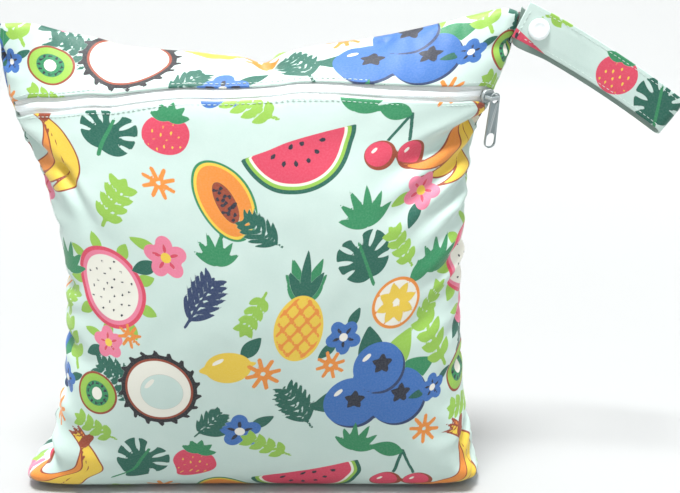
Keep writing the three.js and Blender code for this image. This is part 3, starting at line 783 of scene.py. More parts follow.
@dataclass(frozen=True)
class FruitPrint:
    """The cloth's print: motifs laid out on a repeat.

    Attributes:
        repeat: The repeat's width and height in millimetres.
        layout: Motif name, middle across and up as shares of the repeat, turn and scale.
    """

    repeat: tuple[float, float] = (228.0, 206.0)
    reach: float = 46.0
    layout: tuple[tuple[str, float, float, float, float], ...] = (
        ("pineapple", 0.11, 0.8, -8, 1.05), ("split_leaf", 0.27, 0.93, 20, 0.8),
        ("citrus", 0.36, 0.78, 0, 1.0), ("dragon_fruit", 0.61, 0.83, 12, 0.98),
        ("blades", 0.475, 0.88, -10, 0.8), ("night_palm", 0.85, 0.83, -30, 0.9),
        ("pink_flower", 0.77, 0.95, 0, 0.95), ("spark", 0.01, 0.62, 0, 0.9),
        ("berries", 0.3, 0.54, -6, 1.02), ("sprig", 0.47, 0.63, 24, 1.0),
        ("coconut", 0.74, 0.55, 10, 1.0), ("kiwi", 0.57, 0.5, 0, 0.95),
        ("palm", 0.1, 0.5, 28, 0.85), ("lemon", 0.92, 0.64, 12, 1.0),
        ("melon", 0.13, 0.22, 14, 0.95), ("blue_flower", 0.95, 0.42, 0, 0.95),
        ("cherries", 0.35, 0.25, 0, 1.05), ("bananas", 0.53, 0.22, -12, 1.0),
        ("strawberry", 0.83, 0.28, -14, 0.95), ("split_leaf", 0.7, 0.3, -28, 0.8),
        ("papaya", 0.94, 0.12, 18, 0.86), ("blades", 0.27, 0.06, 12, 0.85),
        ("sprig", 0.66, 0.08, -34, 0.95), ("spark", 0.43, 0.38, 20, 0.8),
        ("pink_flower", 0.42, 0.08, 40, 0.85), ("blue_flower", 0.22, 0.71, 30, 0.8),
        ("sprig", 0.02, 0.36, 60, 0.8), ("sprig", 0.455, 0.74, -40, 0.7),
        ("pink_flower", 0.6, 0.665, 10, 0.75), ("blades", 0.25, 0.375, -20, 0.75),
        ("sprig", 0.575, 0.385, 70, 0.75), ("palm", 0.87, 0.44, -40, 0.65),
        ("spark", 0.79, 0.16, 0, 0.8), ("palm", 0.02, 0.03, 50, 0.7),
        ("sprig", 0.99, 0.81, 150, 0.75), ("spark", 0.66, 0.7, 0, 0.65),
        ("sprig", 0.37, 0.93, 30, 0.75), ("blades", 0.9, 0.98, 0, 0.7),
        ("spark", 0.185, 0.63, 0, 0.75), ("blue_flower", 0.46, 0.5, 0, 0.65),
    )

    def paint(self, mesh: bpy.types.Mesh, places: np.ndarray) -> None:
        """Writes each ink's signed distance to the mesh's points.

        Args:
            mesh: The cloth mesh.
            places: Cloth coordinates of its points in millimetres.
        """
        pen = Pen(places)
        motifs = Motifs()
        low = np.floor((places.min(axis=0) - self.reach) / self.repeat).astype(int)
        high = np.ceil((places.max(axis=0) + self.reach) / self.repeat).astype(int)
        for row in range(low[1], high[1] + 1):
            for column in range(low[0], high[0] + 1):
                for name, across, up, turn, size in self.layout:
                    centre = ((column + across) * self.repeat[0], (row + up) * self.repeat[1])
                    if pen.aim(centre, turn, size, self.reach):
                        getattr(motifs, name)(pen)
        for ink, values in pen.fields.items():
            layer = mesh.attributes.new(ink.layer, "FLOAT", "POINT")
            layer.data.foreach_set("value", values.astype(np.float32))


class Nodes:
    """Short helper for building a material's node tree."""

    def __init__(self, name: str) -> None:
        """Starts a material with its shader and output.

        Args:
            name: The material's name.
        """
        self.material = bpy.data.materials.new(name)
        self.material.use_nodes = True
        self.tree = self.material.node_tree
        self.shader = self.tree.nodes["Principled BSDF"]

    def add(self, kind: str, links: dict | None = None, **settings: object) -> bpy.types.Node:
        """Adds a node.

        Args:
            kind: The node's type.
            links: Input name or number to a socket or a value.
            **settings: The node's own properties.

        Returns:
            The node.
        """
        node = self.tree.nodes.new(kind)
        for name, value in settings.items():
            setattr(node, name, value)
        for key, value in (links or {}).items():
            if isinstance(value, bpy.types.NodeSocket):
                self.tree.links.new(value, node.inputs[key])
            else:
                node.inputs[key].default_value = value
        return node

    def maths(self, operation: str, first: object, second: object = 0.0) -> bpy.types.NodeSocket:
        """Adds a Math node and gives its result."""
        return self.add("ShaderNodeMath", {0: first, 1: second}, operation=operation).outputs[0]

    def mix(self, factor: object, first: object, second: object) -> bpy.types.NodeSocket:
        """Adds a colour mix and gives its result.

        Args:
            factor: Share of the second colour.
            first: The first colour.
            second: The second colour.

        Returns:
            The mixed colour.
        """
        node = self.add("ShaderNodeMix", {"Factor": factor}, data_type="RGBA")
        for key, value in ((6, first), (7, second)):
            if isinstance(value, bpy.types.NodeSocket):
                self.tree.links.new(value, node.inputs[key])
            else:
                node.inputs[key].default_value = (*value, 1)
        return node.outputs[2]

    def ramp(self, value: object, low: float, high: float, start: float, end: float) -> bpy.types.NodeSocket:
        """Maps a value from one range to another, smoothly and clamped."""
        node = self.add("ShaderNodeMapRange", {0: value, 1: low, 2: high, 3: start, 4: end},
                        interpolation_type="SMOOTHSTEP")
        return node.outputs[0]

    def noise(self, vector: object, scale: float, detail: float = 2.0) -> bpy.types.NodeSocket:
        """Adds a noise and gives its factor."""
        return self.add("ShaderNodeTexNoise", {"Vector": vector, "Scale": scale, "Detail": detail}).outputs[0]

    def bump(self, height: object, distance: float, strength: float, below: object = None) -> bpy.types.NodeSocket:
        """Adds a bump and gives its normal.

        Args:
            height: The relief.
            distance: How far it rises, in metres.
            strength: Its strength from 0 to 1.
            below: A normal that it is laid on.

        Returns:
            The normal.
        """
        links = {"Height": height, "Distance": distance, "Strength": strength}
        if below is not None:
            links["Normal"] = below
        return self.add("ShaderNodeBump", links).outputs[0]

    def finish(self, **sockets: object) -> bpy.types.Material:
        """Fills the shader's sockets.

        Args:
            **sockets: Socket name, with _ for a space, to a value or a socket.

        Returns:
            The material.
        """
        for key, value in sockets.items():
            socket = self.shader.inputs[key.replace("_", " ")]
            if isinstance(value, bpy.types.NodeSocket):
                self.tree.links.new(value, socket)
            else:
                socket.default_value = value
        return self.material


@dataclass(frozen=True)
class PrintedCloth:
    """Smooth laminated cloth with the print. The strap's inner faces are painted darker: partly the cloth's reverse
    side, partly painted shade between the strap's layers.
    """

    ground: tuple[float, float, float] = (0.5, 0.62, 0.575)
    ground_shade: tuple[float, float, float] = (0.48, 0.605, 0.56)
    # Inner-face colour: the cloth's reverse, darkened further as painted shade between the strap's layers.
    shaded_reverse: tuple[float, float, float] = (0.22, 0.3, 0.265)
    ink_share: float = 0.8
    edge_mm: float = 0.16
    thread_mm: float = 0.55

    def build(self) -> bpy.types.Material:
        """Builds the cloth's material.

        Returns:
            The material.
        """
        nodes = Nodes("printed_cloth")
        cloth = nodes.add("ShaderNodeUVMap", uv_map="cloth").outputs[0]
        place = nodes.add("ShaderNodeTexCoord").outputs["Object"]
        mottle = nodes.noise(cloth, 40, 3)
        colour = nodes.mix(nodes.ramp(mottle, 0.35, 0.65, 0, 1), self.ground, self.ground_shade)
        for ink in Ink:
            distance = nodes.add("ShaderNodeAttribute", attribute_name=ink.layer).outputs["Fac"]
            cover = nodes.ramp(distance, -self.edge_mm, self.edge_mm, 1, 0)
            colour = nodes.mix(cover, colour, tuple(c * self.ink_share for c in ink.value))
        grain = nodes.noise(cloth, 900, 2)
        colour = nodes.mix(nodes.ramp(grain, 0.3, 0.8, 0, 0.03), colour, (1, 1, 1))
        # The strap's inner faces are painted with the darker reverse colour, which is partly painted shade between its
        # layers.
        inner = nodes.add("ShaderNodeAttribute", attribute_name="shaded_reverse").outputs["Fac"]
        colour = nodes.mix(nodes.ramp(inner, 0.4, 0.6, 0, 1), colour, self.shaded_reverse)
        split = nodes.add("ShaderNodeSeparateXYZ", {0: cloth})
        threads = math.tau / (self.thread_mm * MM)
        warp = nodes.maths("SINE", nodes.maths("MULTIPLY", split.outputs[0], threads))
        weft = nodes.maths("SINE", nodes.maths("MULTIPLY", split.outputs[1], threads))
        weave = nodes.bump(nodes.maths("MULTIPLY", warp, weft), 0.05 * MM, 0.35)
        crumple = nodes.bump(nodes.noise(place, 55, 3), 1.1 * MM, 0.35, weave)
        rough = nodes.ramp(nodes.noise(cloth, 60, 2), 0.3, 0.7, 0.5, 0.6)
        return nodes.finish(Base_Color=colour, Roughness=rough, Normal=crumple, Sheen_Weight=0.12,
                            Sheen_Roughness=0.4, Specular_IOR_Level=0.4)


@dataclass(frozen=True)
class WovenTape:
    """White zip tape with fine ribs along it, their troughs painted darker as shade."""

    colour: tuple[float, float, float] = (0.9, 0.93, 0.93)
    rib_mm: float = 0.9

    def build(self) -> bpy.types.Material:
        """Builds the tape's material.

        Returns:
            The material.
        """
        nodes = Nodes("zip_tape")
        cloth = nodes.add("ShaderNodeUVMap", uv_map="cloth").outputs[0]
        split = nodes.add("ShaderNodeSeparateXYZ", {0: cloth})
        across = nodes.maths("SINE", nodes.maths("MULTIPLY", split.outputs[1], math.tau / (self.rib_mm * MM)))
        along = nodes.maths("SINE", nodes.maths("MULTIPLY", split.outputs[0], math.tau / (0.7 * MM)))
        ribs = nodes.maths("ADD", across, nodes.maths("MULTIPLY", along, 0.4))
        # The ribs' low parts are painted darker, as painted shade in the grooves between ribs.
        shade = nodes.mix(nodes.ramp(ribs, -1.2, 1.2, 0, 1), tuple(c * 0.86 for c in self.colour), self.colour)
        return nodes.finish(Base_Color=shade, Roughness=0.72, Normal=nodes.bump(ribs, 0.12 * MM, 0.7),
                            Sheen_Weight=0.15)


@dataclass(frozen=True)
class MouldedPlastic:
    """White moulded plastic, slightly glossy, with faint flow marks."""

    name: str
    colour: tuple[float, float, float] = (0.9, 0.93, 0.93)
    roughness: float = 0.28

    def build(self) -> bpy.types.Material:
        """Builds the plastic's material.

        Returns:
            The material.
        """
        nodes = Nodes(self.name)
        place = nodes.add("ShaderNodeTexCoord").outputs["Object"]
        haze = nodes.noise(place, 260, 3)
        rough = nodes.ramp(haze, 0.3, 0.7, self.roughness * 0.85, self.roughness * 1.25)
        shade = nodes.mix(nodes.ramp(haze, 0.35, 0.7, 0, 0.5), self.colour, tuple(c * 0.93 for c in self.colour))
        return nodes.finish(Base_Color=shade, Roughness=rough, Normal=nodes.bump(haze, 0.06 * MM, 0.25),
                            Subsurface_Weight=0.08, Coat_Weight=0.15, Coat_Roughness=0.2)


@dataclass(frozen=True)
class SatinMetal:
    """Satin grey plated zinc with fine scuffs, and edges painted brighter: partly wear, partly painted highlight."""

    colour: tuple[float, float, float] = (0.15, 0.2, 0.21)
    edge_wear_and_highlight: tuple[float, float, float] = (0.5, 0.54, 0.55)

    def build(self) -> bpy.types.Material:
        """Builds the metal's material.

        Returns:
            The material.
        """
        nodes = Nodes("slider_metal")
        place = nodes.add("ShaderNodeTexCoord").outputs["Object"]
        scuffs = nodes.noise(place, 1400, 4)
        # Sharp edges are painted brighter, partly as wear and partly as painted highlight along the rims.
        edge = nodes.ramp(nodes.add("ShaderNodeNewGeometry").outputs["Pointiness"], 0.51, 0.56, 0, 0.8)
        colour = nodes.mix(edge, self.colour, self.edge_wear_and_highlight)
        rough = nodes.ramp(scuffs, 0.35, 0.65, 0.42, 0.55)
        return nodes.finish(Base_Color=colour, Metallic=0.35, Roughness=rough,
                            Normal=nodes.bump(scuffs, 0.03 * MM, 0.3))


@dataclass(frozen=True)
class SewingThread:
    """Pale mint sewing thread."""

    colour: tuple[float, float, float] = (0.58, 0.7, 0.65)

    def build(self) -> bpy.types.Material:
        """Builds the thread's material.

        Returns:
            The material.
        """
        nodes = Nodes("sewing_thread")
        place = nodes.add("ShaderNodeTexCoord").outputs["Object"]
        fuzz = nodes.noise(place, 3000, 2)
        shade = nodes.mix(fuzz, self.colour, tuple(c * 0.8 for c in self.colour))
        return nodes.finish(Base_Color=shade, Roughness=0.6, Normal=nodes.bump(fuzz, 0.05 * MM, 0.4),
                            Sheen_Weight=0.2)


def sheet_grid(name: str, columns: int, rows: int) -> tuple[bpy.types.Mesh, np.ndarray, np.ndarray]:
    """Makes a flat grid to be placed as cloth.

    Args:
        name: The mesh's name.
        columns: Faces across.
        rows: Faces along.

    Returns:
        The mesh, and each point's shares across and along.
    """
    work = bmesh.new()
    bmesh.ops.create_grid(work, x_segments=columns, y_segments=rows, size=0.5)
    mesh = bpy.data.meshes.new(name)
    work.to_mesh(mesh)
    work.free()
    flat = np.empty(len(mesh.vertices) * 3)
    mesh.vertices.foreach_get("co", flat)
    shares = flat.reshape(-1, 3) + 0.5
    return mesh, shares[:, 0], shares[:, 1]


def place_points(mesh: bpy.types.Mesh, points: np.ndarray) -> None:
    """Moves a mesh's points to places in millimetres."""
    mesh.vertices.foreach_set("co", (points * MM).ravel())
    mesh.update()


def write_uv(mesh: bpy.types.Mesh, places: np.ndarray) -> None:
    """Writes cloth coordinates, in metres, as the UV map named cloth.

    Args:
        mesh: The mesh.
        places: Cloth coordinates in millimetres.
    """
    layer = mesh.uv_layers.new(name="cloth")
    corners = np.empty(len(mesh.loops), dtype=np.int64)
    mesh.loops.foreach_get("vertex_index", corners)
    layer.data.foreach_set("uv", (places[corners] * MM).astype(np.float32).ravel())


def add_object(name: str, mesh: bpy.types.Mesh, material: bpy.types.Material) -> bpy.types.Object:
    """Puts a smooth-shaded mesh in the scene with its material.

    Args:
        name: Its name.
        mesh: The mesh.
        material: Its material.

    Returns:
        The object.
    """
    mesh.materials.clear()
    mesh.materials.append(material)
    mesh.polygons.foreach_set("use_smooth", np.ones(len(mesh.polygons), dtype=bool))
    piece = bpy.data.objects.new(name, mesh)
    bpy.context.scene.collection.objects.link(piece)
    return piece


def give_wall(piece: bpy.types.Object, wall: float) -> None:
    """Gives a sheet its wall, inwards, in millimetres.

    Args:
        piece: The sheet.
        wall: The wall in millimetres.
    """
    solid = piece.modifiers.new("wall", "SOLIDIFY")
    solid.thickness = wall * MM
    solid.offset = -1
    solid.use_even_offset = False


def spline(offset: np.ndarray) -> np.ndarray:
    """Cubic spline weight of a grid point at an offset in cells.

    Args:
        offset: Offset of the point in cells.

    Returns:
        The weights.
    """
    far = np.abs(offset)
    near = (4 - 6 * far**2 + 3 * far**3) / 6
    return np.where(far < 1, near, np.maximum(2 - far, 0) ** 3 / 6)


@dataclass(frozen=True)
class Relief:
    """Moves of one panel on a coarse grid, read smoothly between its points.

    Attributes:
        columns: Shares across of the grid's columns.
        moves: The moves in millimetres, rows by columns by three.
    """

    columns: np.ndarray
    moves: np.ndarray

    def read(self, across: np.ndarray, cloth: np.ndarray) -> np.ndarray:
        """Moves at some places of the panel.

        Args:
            across: Shares across the cloth.
            cloth: Shares along the cloth.

        Returns:
            The moves in millimetres.
        """
        rows, columns = self.moves.shape[:2]
        column = np.interp(across, self.columns, np.arange(columns))
        row = np.clip(cloth, 0, 1) * (rows - 1)
        first_column, first_row = np.floor(column).astype(int), np.floor(row).astype(int)
        total = np.zeros((len(column), 3))
        for near_row in range(-1, 3):
            for near_column in range(-1, 3):
                weight = spline(row - first_row - near_row) * spline(column - first_column - near_column)
                total += weight[:, None] * self.moves[np.clip(first_row + near_row, 0, rows - 1),
                                                      np.clip(first_column + near_column, 0, columns - 1)]
        return total


CLOTH_BEHAVIOUR = {"quality": 6, "mass": 0.15, "tension_stiffness": 30, "compression_stiffness": 30,
                   "shear_stiffness": 8, "bending_stiffness": 0.3, "air_damping": 3}


@dataclass
class FillSimulation:
    """Settles both panels over their filling as one coarse cloth sewn at the seams.

    Attributes:
        form: The bag's form, from which the cloth starts.
        columns: Cells across.
        rows: Cells along.
        frames: Steps of the simulation.
        pressure: Push of the filling.
        slack: Flat cloth size against its nominal size.
        zip_hold: Half width of the stiff band at the zip, in millimetres.
        blur: Cells over which the mean swelling is taken out.
        limit: Largest move in millimetres.
    """

    form: BagForm
    columns: int = 84
    rows: int = 92
    frames: int = 26
    pressure: float = 3.0
    slack: float = 0.99
    zip_hold: float = 9.0
    blur: int = 9
    limit: float = 5.0

    def start(self, across: np.ndarray) -> bpy.types.Object:
        """Builds the coarse cloth on the form, with its flat pattern as the rest shape.

        Args:
            across: Shares across of the grid's columns.

        Returns:
            The cloth.
        """
        work = bmesh.new()
        layers = {name: work.verts.layers.float.new(name) for name in ("s", "t", "hold", "column", "row", "side")}
        zip_middle = self.form.zip_share(across, 0.0)
        for side in Side:
            made = bmesh.ops.create_grid(work, x_segments=self.columns, y_segments=self.rows, size=0.5)["verts"]
            column = np.array([round((vert.co.x + 0.5) * self.columns) for vert in made])
            row = np.array([round((vert.co.y + 0.5) * self.rows) for vert in made])
            cloth = row / self.rows
            points = self.form.point(side, across[column], cloth)
            edge = (column == 0) | (column == self.columns) | (row == 0) | (row == self.rows)
            beside_zip = np.abs(cloth - zip_middle[column]) * self.form.flat_height < self.zip_hold
            hold = edge | (points[:, 2] < 1.5) | (beside_zip & (side is Side.FRONT))
            for index, vert in enumerate(made):
                vert.co = points[index] * MM
                vert[layers["s"]] = (column[index] / self.columns - 0.5) * self.form.flat_width * self.slack * MM
                vert[layers["t"]] = cloth[index] * self.form.flat_height * self.slack * MM
                vert[layers["hold"]] = float(hold[index])
                vert[layers["column"]], vert[layers["row"]] = column[index], row[index]
                vert[layers["side"]] = side.value
            if side is Side.BACK:
                bmesh.ops.reverse_faces(work, faces=list({face for vert in made for face in vert.link_faces}))
        border = [vert for vert in work.verts if vert.is_boundary]
        bmesh.ops.remove_doubles(work, verts=border, dist=0.5 * MM)
        mesh = bpy.data.meshes.new("filling_cloth")
        work.to_mesh(mesh)
        work.free()
        cloth_object = bpy.data.objects.new("filling_cloth", mesh)
        bpy.context.scene.collection.objects.link(cloth_object)
        cloth_object.shape_key_add(name="filled")
        flat_key = cloth_object.shape_key_add(name="flat")
        flat = np.zeros((len(mesh.vertices), 3))
        flat[:, 0], flat[:, 2] = self.column(mesh, "s"), self.column(mesh, "t")
        flat_key.data.foreach_set("co", flat.ravel())
        group = cloth_object.vertex_groups.new(name="held")
        group.add(np.nonzero(self.column(mesh, "hold") > 0.5)[0].tolist(), 1.0, "REPLACE")
        return cloth_object

    def column(self, mesh: bpy.types.Mesh, name: str) -> np.ndarray:
        """One of the mesh's own number layers.

        Args:
            mesh: The mesh.
            name: The layer's name.

        Returns:
            Its values.
        """
        values = np.empty(len(mesh.vertices))
        mesh.attributes[name].data.foreach_get("value", values)
        return values

    def run(self) -> dict[Side, Relief]:
        """Runs the simulation.

        Returns:
            The relief of each panel.
        """
        even = np.linspace(0, 1, 400)
        length = np.zeros(400)
        for row in (0.2, 0.4, 0.6, 0.8):
            line = self.form.point(Side.FRONT, even, np.full(400, row))
            length[1:] += np.linalg.norm(np.diff(line, axis=0), axis=1).cumsum()
        across = np.interp(np.linspace(0, 1, self.columns + 1), length / length[-1], even)
        holder = self.start(across)
        mesh = holder.data
        before = np.empty(len(mesh.vertices) * 3)
        mesh.vertices.foreach_get("co", before)
        cloth = holder.modifiers.new("filling", "CLOTH")
        settings = cloth.settings
        settings.vertex_group_mass = "held"
        settings.rest_shape_key = mesh.shape_keys.key_blocks["flat"]
        settings.use_pressure = True
        settings.uniform_pressure_force = self.pressure
        settings.effector_weights.gravity = 0
        for name, value in CLOTH_BEHAVIOUR.items():
            setattr(settings, name, value)
        cloth.collision_settings.use_collision = False
        cloth.point_cache.frame_end = self.frames + 1
        for frame_number in range(1, self.frames + 1):
            bpy.context.scene.frame_set(frame_number)
        after = np.empty(len(before))
        holder.evaluated_get(bpy.context.evaluated_depsgraph_get()).data.vertices.foreach_get("co", after)
        moves = (after - before).reshape(-1, 3) / MM
        places = self.column(mesh, "column").astype(int), self.column(mesh, "row").astype(int)
        sides = self.column(mesh, "side")
        bpy.context.scene.frame_set(1)
        bpy.data.objects.remove(holder)
        LOG.info("filling: largest raw move %.1f mm", np.linalg.norm(moves, axis=1).max())
        return {side: self.relief(across, moves, places, sides == side.value) for side in Side}

    def relief(self, across: np.ndarray, moves: np.ndarray, places: tuple[np.ndarray, np.ndarray],
               chosen: np.ndarray) -> Relief:
        """Takes one panel's wrinkles out of the moves.

        Args:
            across: Shares across of the grid's columns.
            moves: Moves of all points.
            places: Column and row of each point.
            chosen: Which points are the panel's.

        Returns:
            The panel's relief, without its mean swelling.
        """
        grid = np.zeros((self.rows + 1, self.columns + 1, 3))
        grid[places[1][chosen], places[0][chosen]] = moves[chosen]
        mean = grid.copy()
        width = np.ones(self.blur) / self.blur
        for axis in (0, 1):
            padded = np.pad(mean, [(self.blur // 2,) * 2 if a == axis else (0, 0) for a in range(3)], mode="edge")
            mean = np.apply_along_axis(np.convolve, axis, padded, width, mode="valid")
        rest = grid - mean
        size = np.linalg.norm(rest, axis=2, keepdims=True)
        LOG.info("filling: wrinkles up to %.1f mm, mean swelling up to %.1f mm", size.max(),
                 np.linalg.norm(mean, axis=2).max())
        rest *= np.tanh(size / self.limit) * self.limit / np.maximum(size, 1e-6)
        column = np.arange(self.columns + 1)
        row = np.arange(self.rows + 1)[:, None]
        edge = np.minimum(np.minimum(column, self.columns - column), np.minimum(row, self.rows - row))
        return Relief(across, rest * smooth(edge, 0, 2)[:, :, None])


@dataclass
class Cloth:
    """Printed cloth panels of the bag."""

    form: BagForm
    cloth: bpy.types.Material
    printed: FruitPrint
    wall: float = 1.1
    zip_opening: float = 9.5
    cell: float = 1.35
    pucker_pitch: float = 11.0
    pucker_height: float = 0.9
    pucker_reach: float = 16.0
    back_shift: tuple[float, float] = (545.0, 74.0)
    reliefs: dict[Side, Relief] = field(default_factory=dict)

    def even_columns(self, side: Side, count_share: np.ndarray) -> np.ndarray:
        """Shares across that space points evenly along the cloth.

        Args:
            side: The panel.
            count_share: Even shares from 0 to 1.

        Returns:
            Shares across for the form.
        """
        across = np.linspace(0, 1, 400)
        length = np.zeros(400)
        for row in (0.2, 0.4, 0.6, 0.8):
            line = self.form.point(side, across, np.full(400, row))
            length[1:] += np.linalg.norm(np.diff(line, axis=0), axis=1).cumsum()
        return np.interp(count_share, length / length[-1], across)

    def waves(self, side: Side, s: np.ndarray, t: np.ndarray) -> np.ndarray:
        """Small rise and fall of the cloth, with puckers along the seams.

        Args:
            side: The panel.
            s: Cloth coordinates across in millimetres.
            t: Cloth coordinates along in millimetres.

        Returns:
            Outward displacement in millimetres.
        """
        phase = 0.0 if side is Side.FRONT else 2.1
        broad = 0.55 * np.sin(s / 23 + 1.3 * np.sin(t / 41 + phase)) * np.sin(t / 29 + 0.8 * np.sin(s / 37))
        fine = 0.22 * np.sin(s / 9.5 + 2 * np.sin(t / 17 + phase)) * np.sin(t / 12.5 + 1.7 * np.sin(s / 21))
        half = self.form.flat_width / 2
        total = broad + fine
        for crease in FRONT_CREASES if side is Side.FRONT else BACK_CREASES:
            total -= crease.press(s, t)
        for distance, along in ((s + half, t), (half - s, t + 30), (t, s + 17), (self.form.flat_height - t, s)):
            near = np.exp(-np.maximum(distance, 0) / self.pucker_reach)
            ripple = np.sin(math.tau * along / self.pucker_pitch + 1.9 * np.sin(along / 19 + phase))
            slow = 0.6 + 0.4 * np.sin(along / 31 + phase)
            total += self.pucker_height * near * ripple * slow
        edge = np.minimum(np.minimum(s + half, half - s), self.form.flat_height - t)
        return total * smooth(edge, 0, 5)

    def panel(self, name: str, side: Side, low: Callable, high: Callable, grid: tuple[int, int]) -> bpy.types.Object:
        """Builds one printed panel between two lines.

        Args:
            name: The piece's name.
            side: The panel's side.
            low: Gives the lower line's share along the cloth.
            high: Gives the upper line's share along the cloth.
            grid: Faces across and along.

        Returns:
            The panel.
        """
        mesh, u, v = sheet_grid(name, *grid)
        share = u if side is Side.FRONT else 1 - u
        across = self.even_columns(side, share)
        along = low(across) + (high(across) - low(across)) * v
        s = (share - 0.5) * self.form.flat_width
        t = along * self.form.flat_height
        points = self.form.point(side, across, along)
        normal = self.form.normal(side, across, along)
        on_floor = smooth(points[:, 2], 0.5, 12)
        points += normal * (self.waves(side, s, t) * on_floor)[:, None]
        if side in self.reliefs:
            points += self.reliefs[side].read(across, along) * on_floor[:, None]
        points[:, 2] = np.maximum(points[:, 2], 0)
        place_points(mesh, points)
        shift = (0.0, 0.0) if side is Side.FRONT else self.back_shift
        places = np.stack([-side.value * s + shift[0], t + shift[1]], axis=-1)
        write_uv(mesh, places)
        self.printed.paint(mesh, places)
        piece = add_object(name, mesh, self.cloth)
        give_wall(piece, self.wall)
        return piece

    def build(self) -> list[bpy.types.Object]:
        """Builds the three panels.

        Returns:
            The pieces.
        """
        half = self.zip_opening / 2
        height = self.form.flat_height
        wide = round(self.form.flat_width / self.cell)
        base = lambda across: np.zeros_like(across)
        top = lambda across: np.ones_like(across)
        under = lambda across: self.form.zip_share(across, -half)
        over = lambda across: self.form.zip_share(across, half)
        front = self.panel("front_panel_cloth", Side.FRONT, base, under, (wide, round(0.85 * height / self.cell)))
        yoke = self.panel("front_yoke_cloth", Side.FRONT, over, top, (wide, round(0.13 * height / self.cell)))
        back_wide = round(wide * 0.9)
        back = self.panel("back_panel_cloth", Side.BACK, base, top, (back_wide, round(0.9 * height / self.cell)))
        for piece, node, share in ((front, "front_panel", 0.85), (yoke, "front_yoke", 0.12), (back, "back_panel", 1)):
            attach(piece, ROOT_BODY)
            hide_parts(node)
        return [front, yoke, back]


@dataclass
class ZipFastener:
    """Tapes, coil, slider and tab of the zip."""

    form: BagForm
    tape: bpy.types.Material
    plastic: bpy.types.Material
    metal: bpy.types.Material
    thread: bpy.types.Material
    opening: float = 9.5
    tuck: float = 7.0
    slot: float = 1.5
    inset: float = 1.9
    tape_wall: float = 0.6
    chain_end: float = 0.895
    ridge_width: float = 4.8
    ridge_rise: float = 1.15
    tooth_pitch: float = 1.5
    tooth_rise: float = 0.06
    slit_depth: float = 0.22
    stitch_pitch: float = 3.1
    stitch_length: float = 2.3
    stitch_radius: float = 0.27

    def strip(self, name: str, low: float, high: float) -> bpy.types.Object:
        """Builds one tape between two distances from the zip's middle.

        Args:
            name: Its name.
            low: Lower edge's distance from the zip's middle.
            high: Upper edge's distance from the zip's middle.

        Returns:
            The tape.
        """
        mesh, u, v = sheet_grid(name, 300, 8)
        across = 0.004 + 0.992 * u
        distance = low + (high - low) * v
        along = self.form.zip_share(across, distance)
        points = self.form.point(Side.FRONT, across, along)
        points -= self.form.normal(Side.FRONT, across, along) * self.inset
        place_points(mesh, points)
        write_uv(mesh, np.stack([u * self.form.flat_width, distance], axis=-1))
        piece = add_object(name, mesh, self.tape)
        give_wall(piece, self.tape_wall)
        return piece

    def chain(self) -> bpy.types.Object:
        """Builds the closed chain: two smooth ridges over fine teeth, with a slit between them.

        Returns:
            The chain.
        """
        mesh, u, v = sheet_grid("zip_chain_ridge", 1100, 14)
        even = np.linspace(0.012, self.chain_end, 400)
        middle = self.form.point(Side.FRONT, even, self.form.zip_share(even, 0.0))
        run = np.concatenate([[0], np.linalg.norm(np.diff(middle, axis=0), axis=1).cumsum()])
        across = np.interp(u * run[-1], run, even)
        side = 2 * v - 1
        round_off = np.sqrt(np.maximum(1 - side**2, 0))
        teeth = self.tooth_rise * np.sin(u * run[-1] * math.tau / self.tooth_pitch) * round_off
        slit = self.slit_depth * np.exp(-((side / 0.1) ** 2))
        lift = self.ridge_rise * round_off + teeth - slit
        along = self.form.zip_share(across, side * self.ridge_width / 2)
        points = self.form.point(Side.FRONT, across, along)
        points -= self.form.normal(Side.FRONT, across, along) * (self.inset - lift)[:, None]
        place_points(mesh, points)
        write_uv(mesh, np.stack([u * run[-1], side * self.ridge_width / 2], axis=-1))
        piece = add_object("zip_chain_ridge", mesh, self.plastic)
        give_wall(piece, self.tape_wall)
        return piece

    def stitches(self, name: str, distance: float) -> bpy.types.Object:
        """Builds one row of topstitching beside the zip.

        Args:
            name: Its name.
            distance: Distance from the zip's middle.

        Returns:
            The stitches.
        """
        across = np.linspace(0.02, 0.985, 600)
        along = self.form.zip_share(across, distance)
        points = self.form.point(Side.FRONT, across, along)
        normal = self.form.normal(Side.FRONT, across, along)
        return stitch_row(name, points, normal, self.thread, self.stitch_pitch, self.stitch_length,
                          self.stitch_radius)

    def build(self) -> list[bpy.types.Object]:
        """Builds the zip.

        Returns:
            The pieces.
        """
        reach = self.opening / 2 + self.tuck
        upper = self.strip("zip_tape_upper_cloth", self.slot, reach)
        lower = self.strip("zip_tape_lower_cloth", -reach, -self.slot)
        chain = self.chain()
        slider = refined_copy("zip_slider", "zip_slider_metal", self.metal, 0.28)
        tab = refined_copy("pull_tab", "pull_tab_metal", self.metal, 0.2)
        rows = [self.stitches("zip_stitches_upper", self.opening / 2 + 2.2),
                self.stitches("zip_stitches_lower", -self.opening / 2 - 2.2)]
        for piece, node, slot in ((upper, "zip_tape_upper", "zip_tape"), (lower, "zip_tape_lower", "zip_tape"),
                                  (chain, "zip_chain", "zip_chain"), (slider, "zip_slider", "slider_metal"),
                                  (tab, "pull_tab", "slider_metal")):
            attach(piece, "pull_tab" if piece is tab else ROOT_BODY)
            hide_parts(node)
        for piece in rows:
            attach(piece, ROOT_BODY)
        return [upper, lower, chain, slider, tab, *rows]


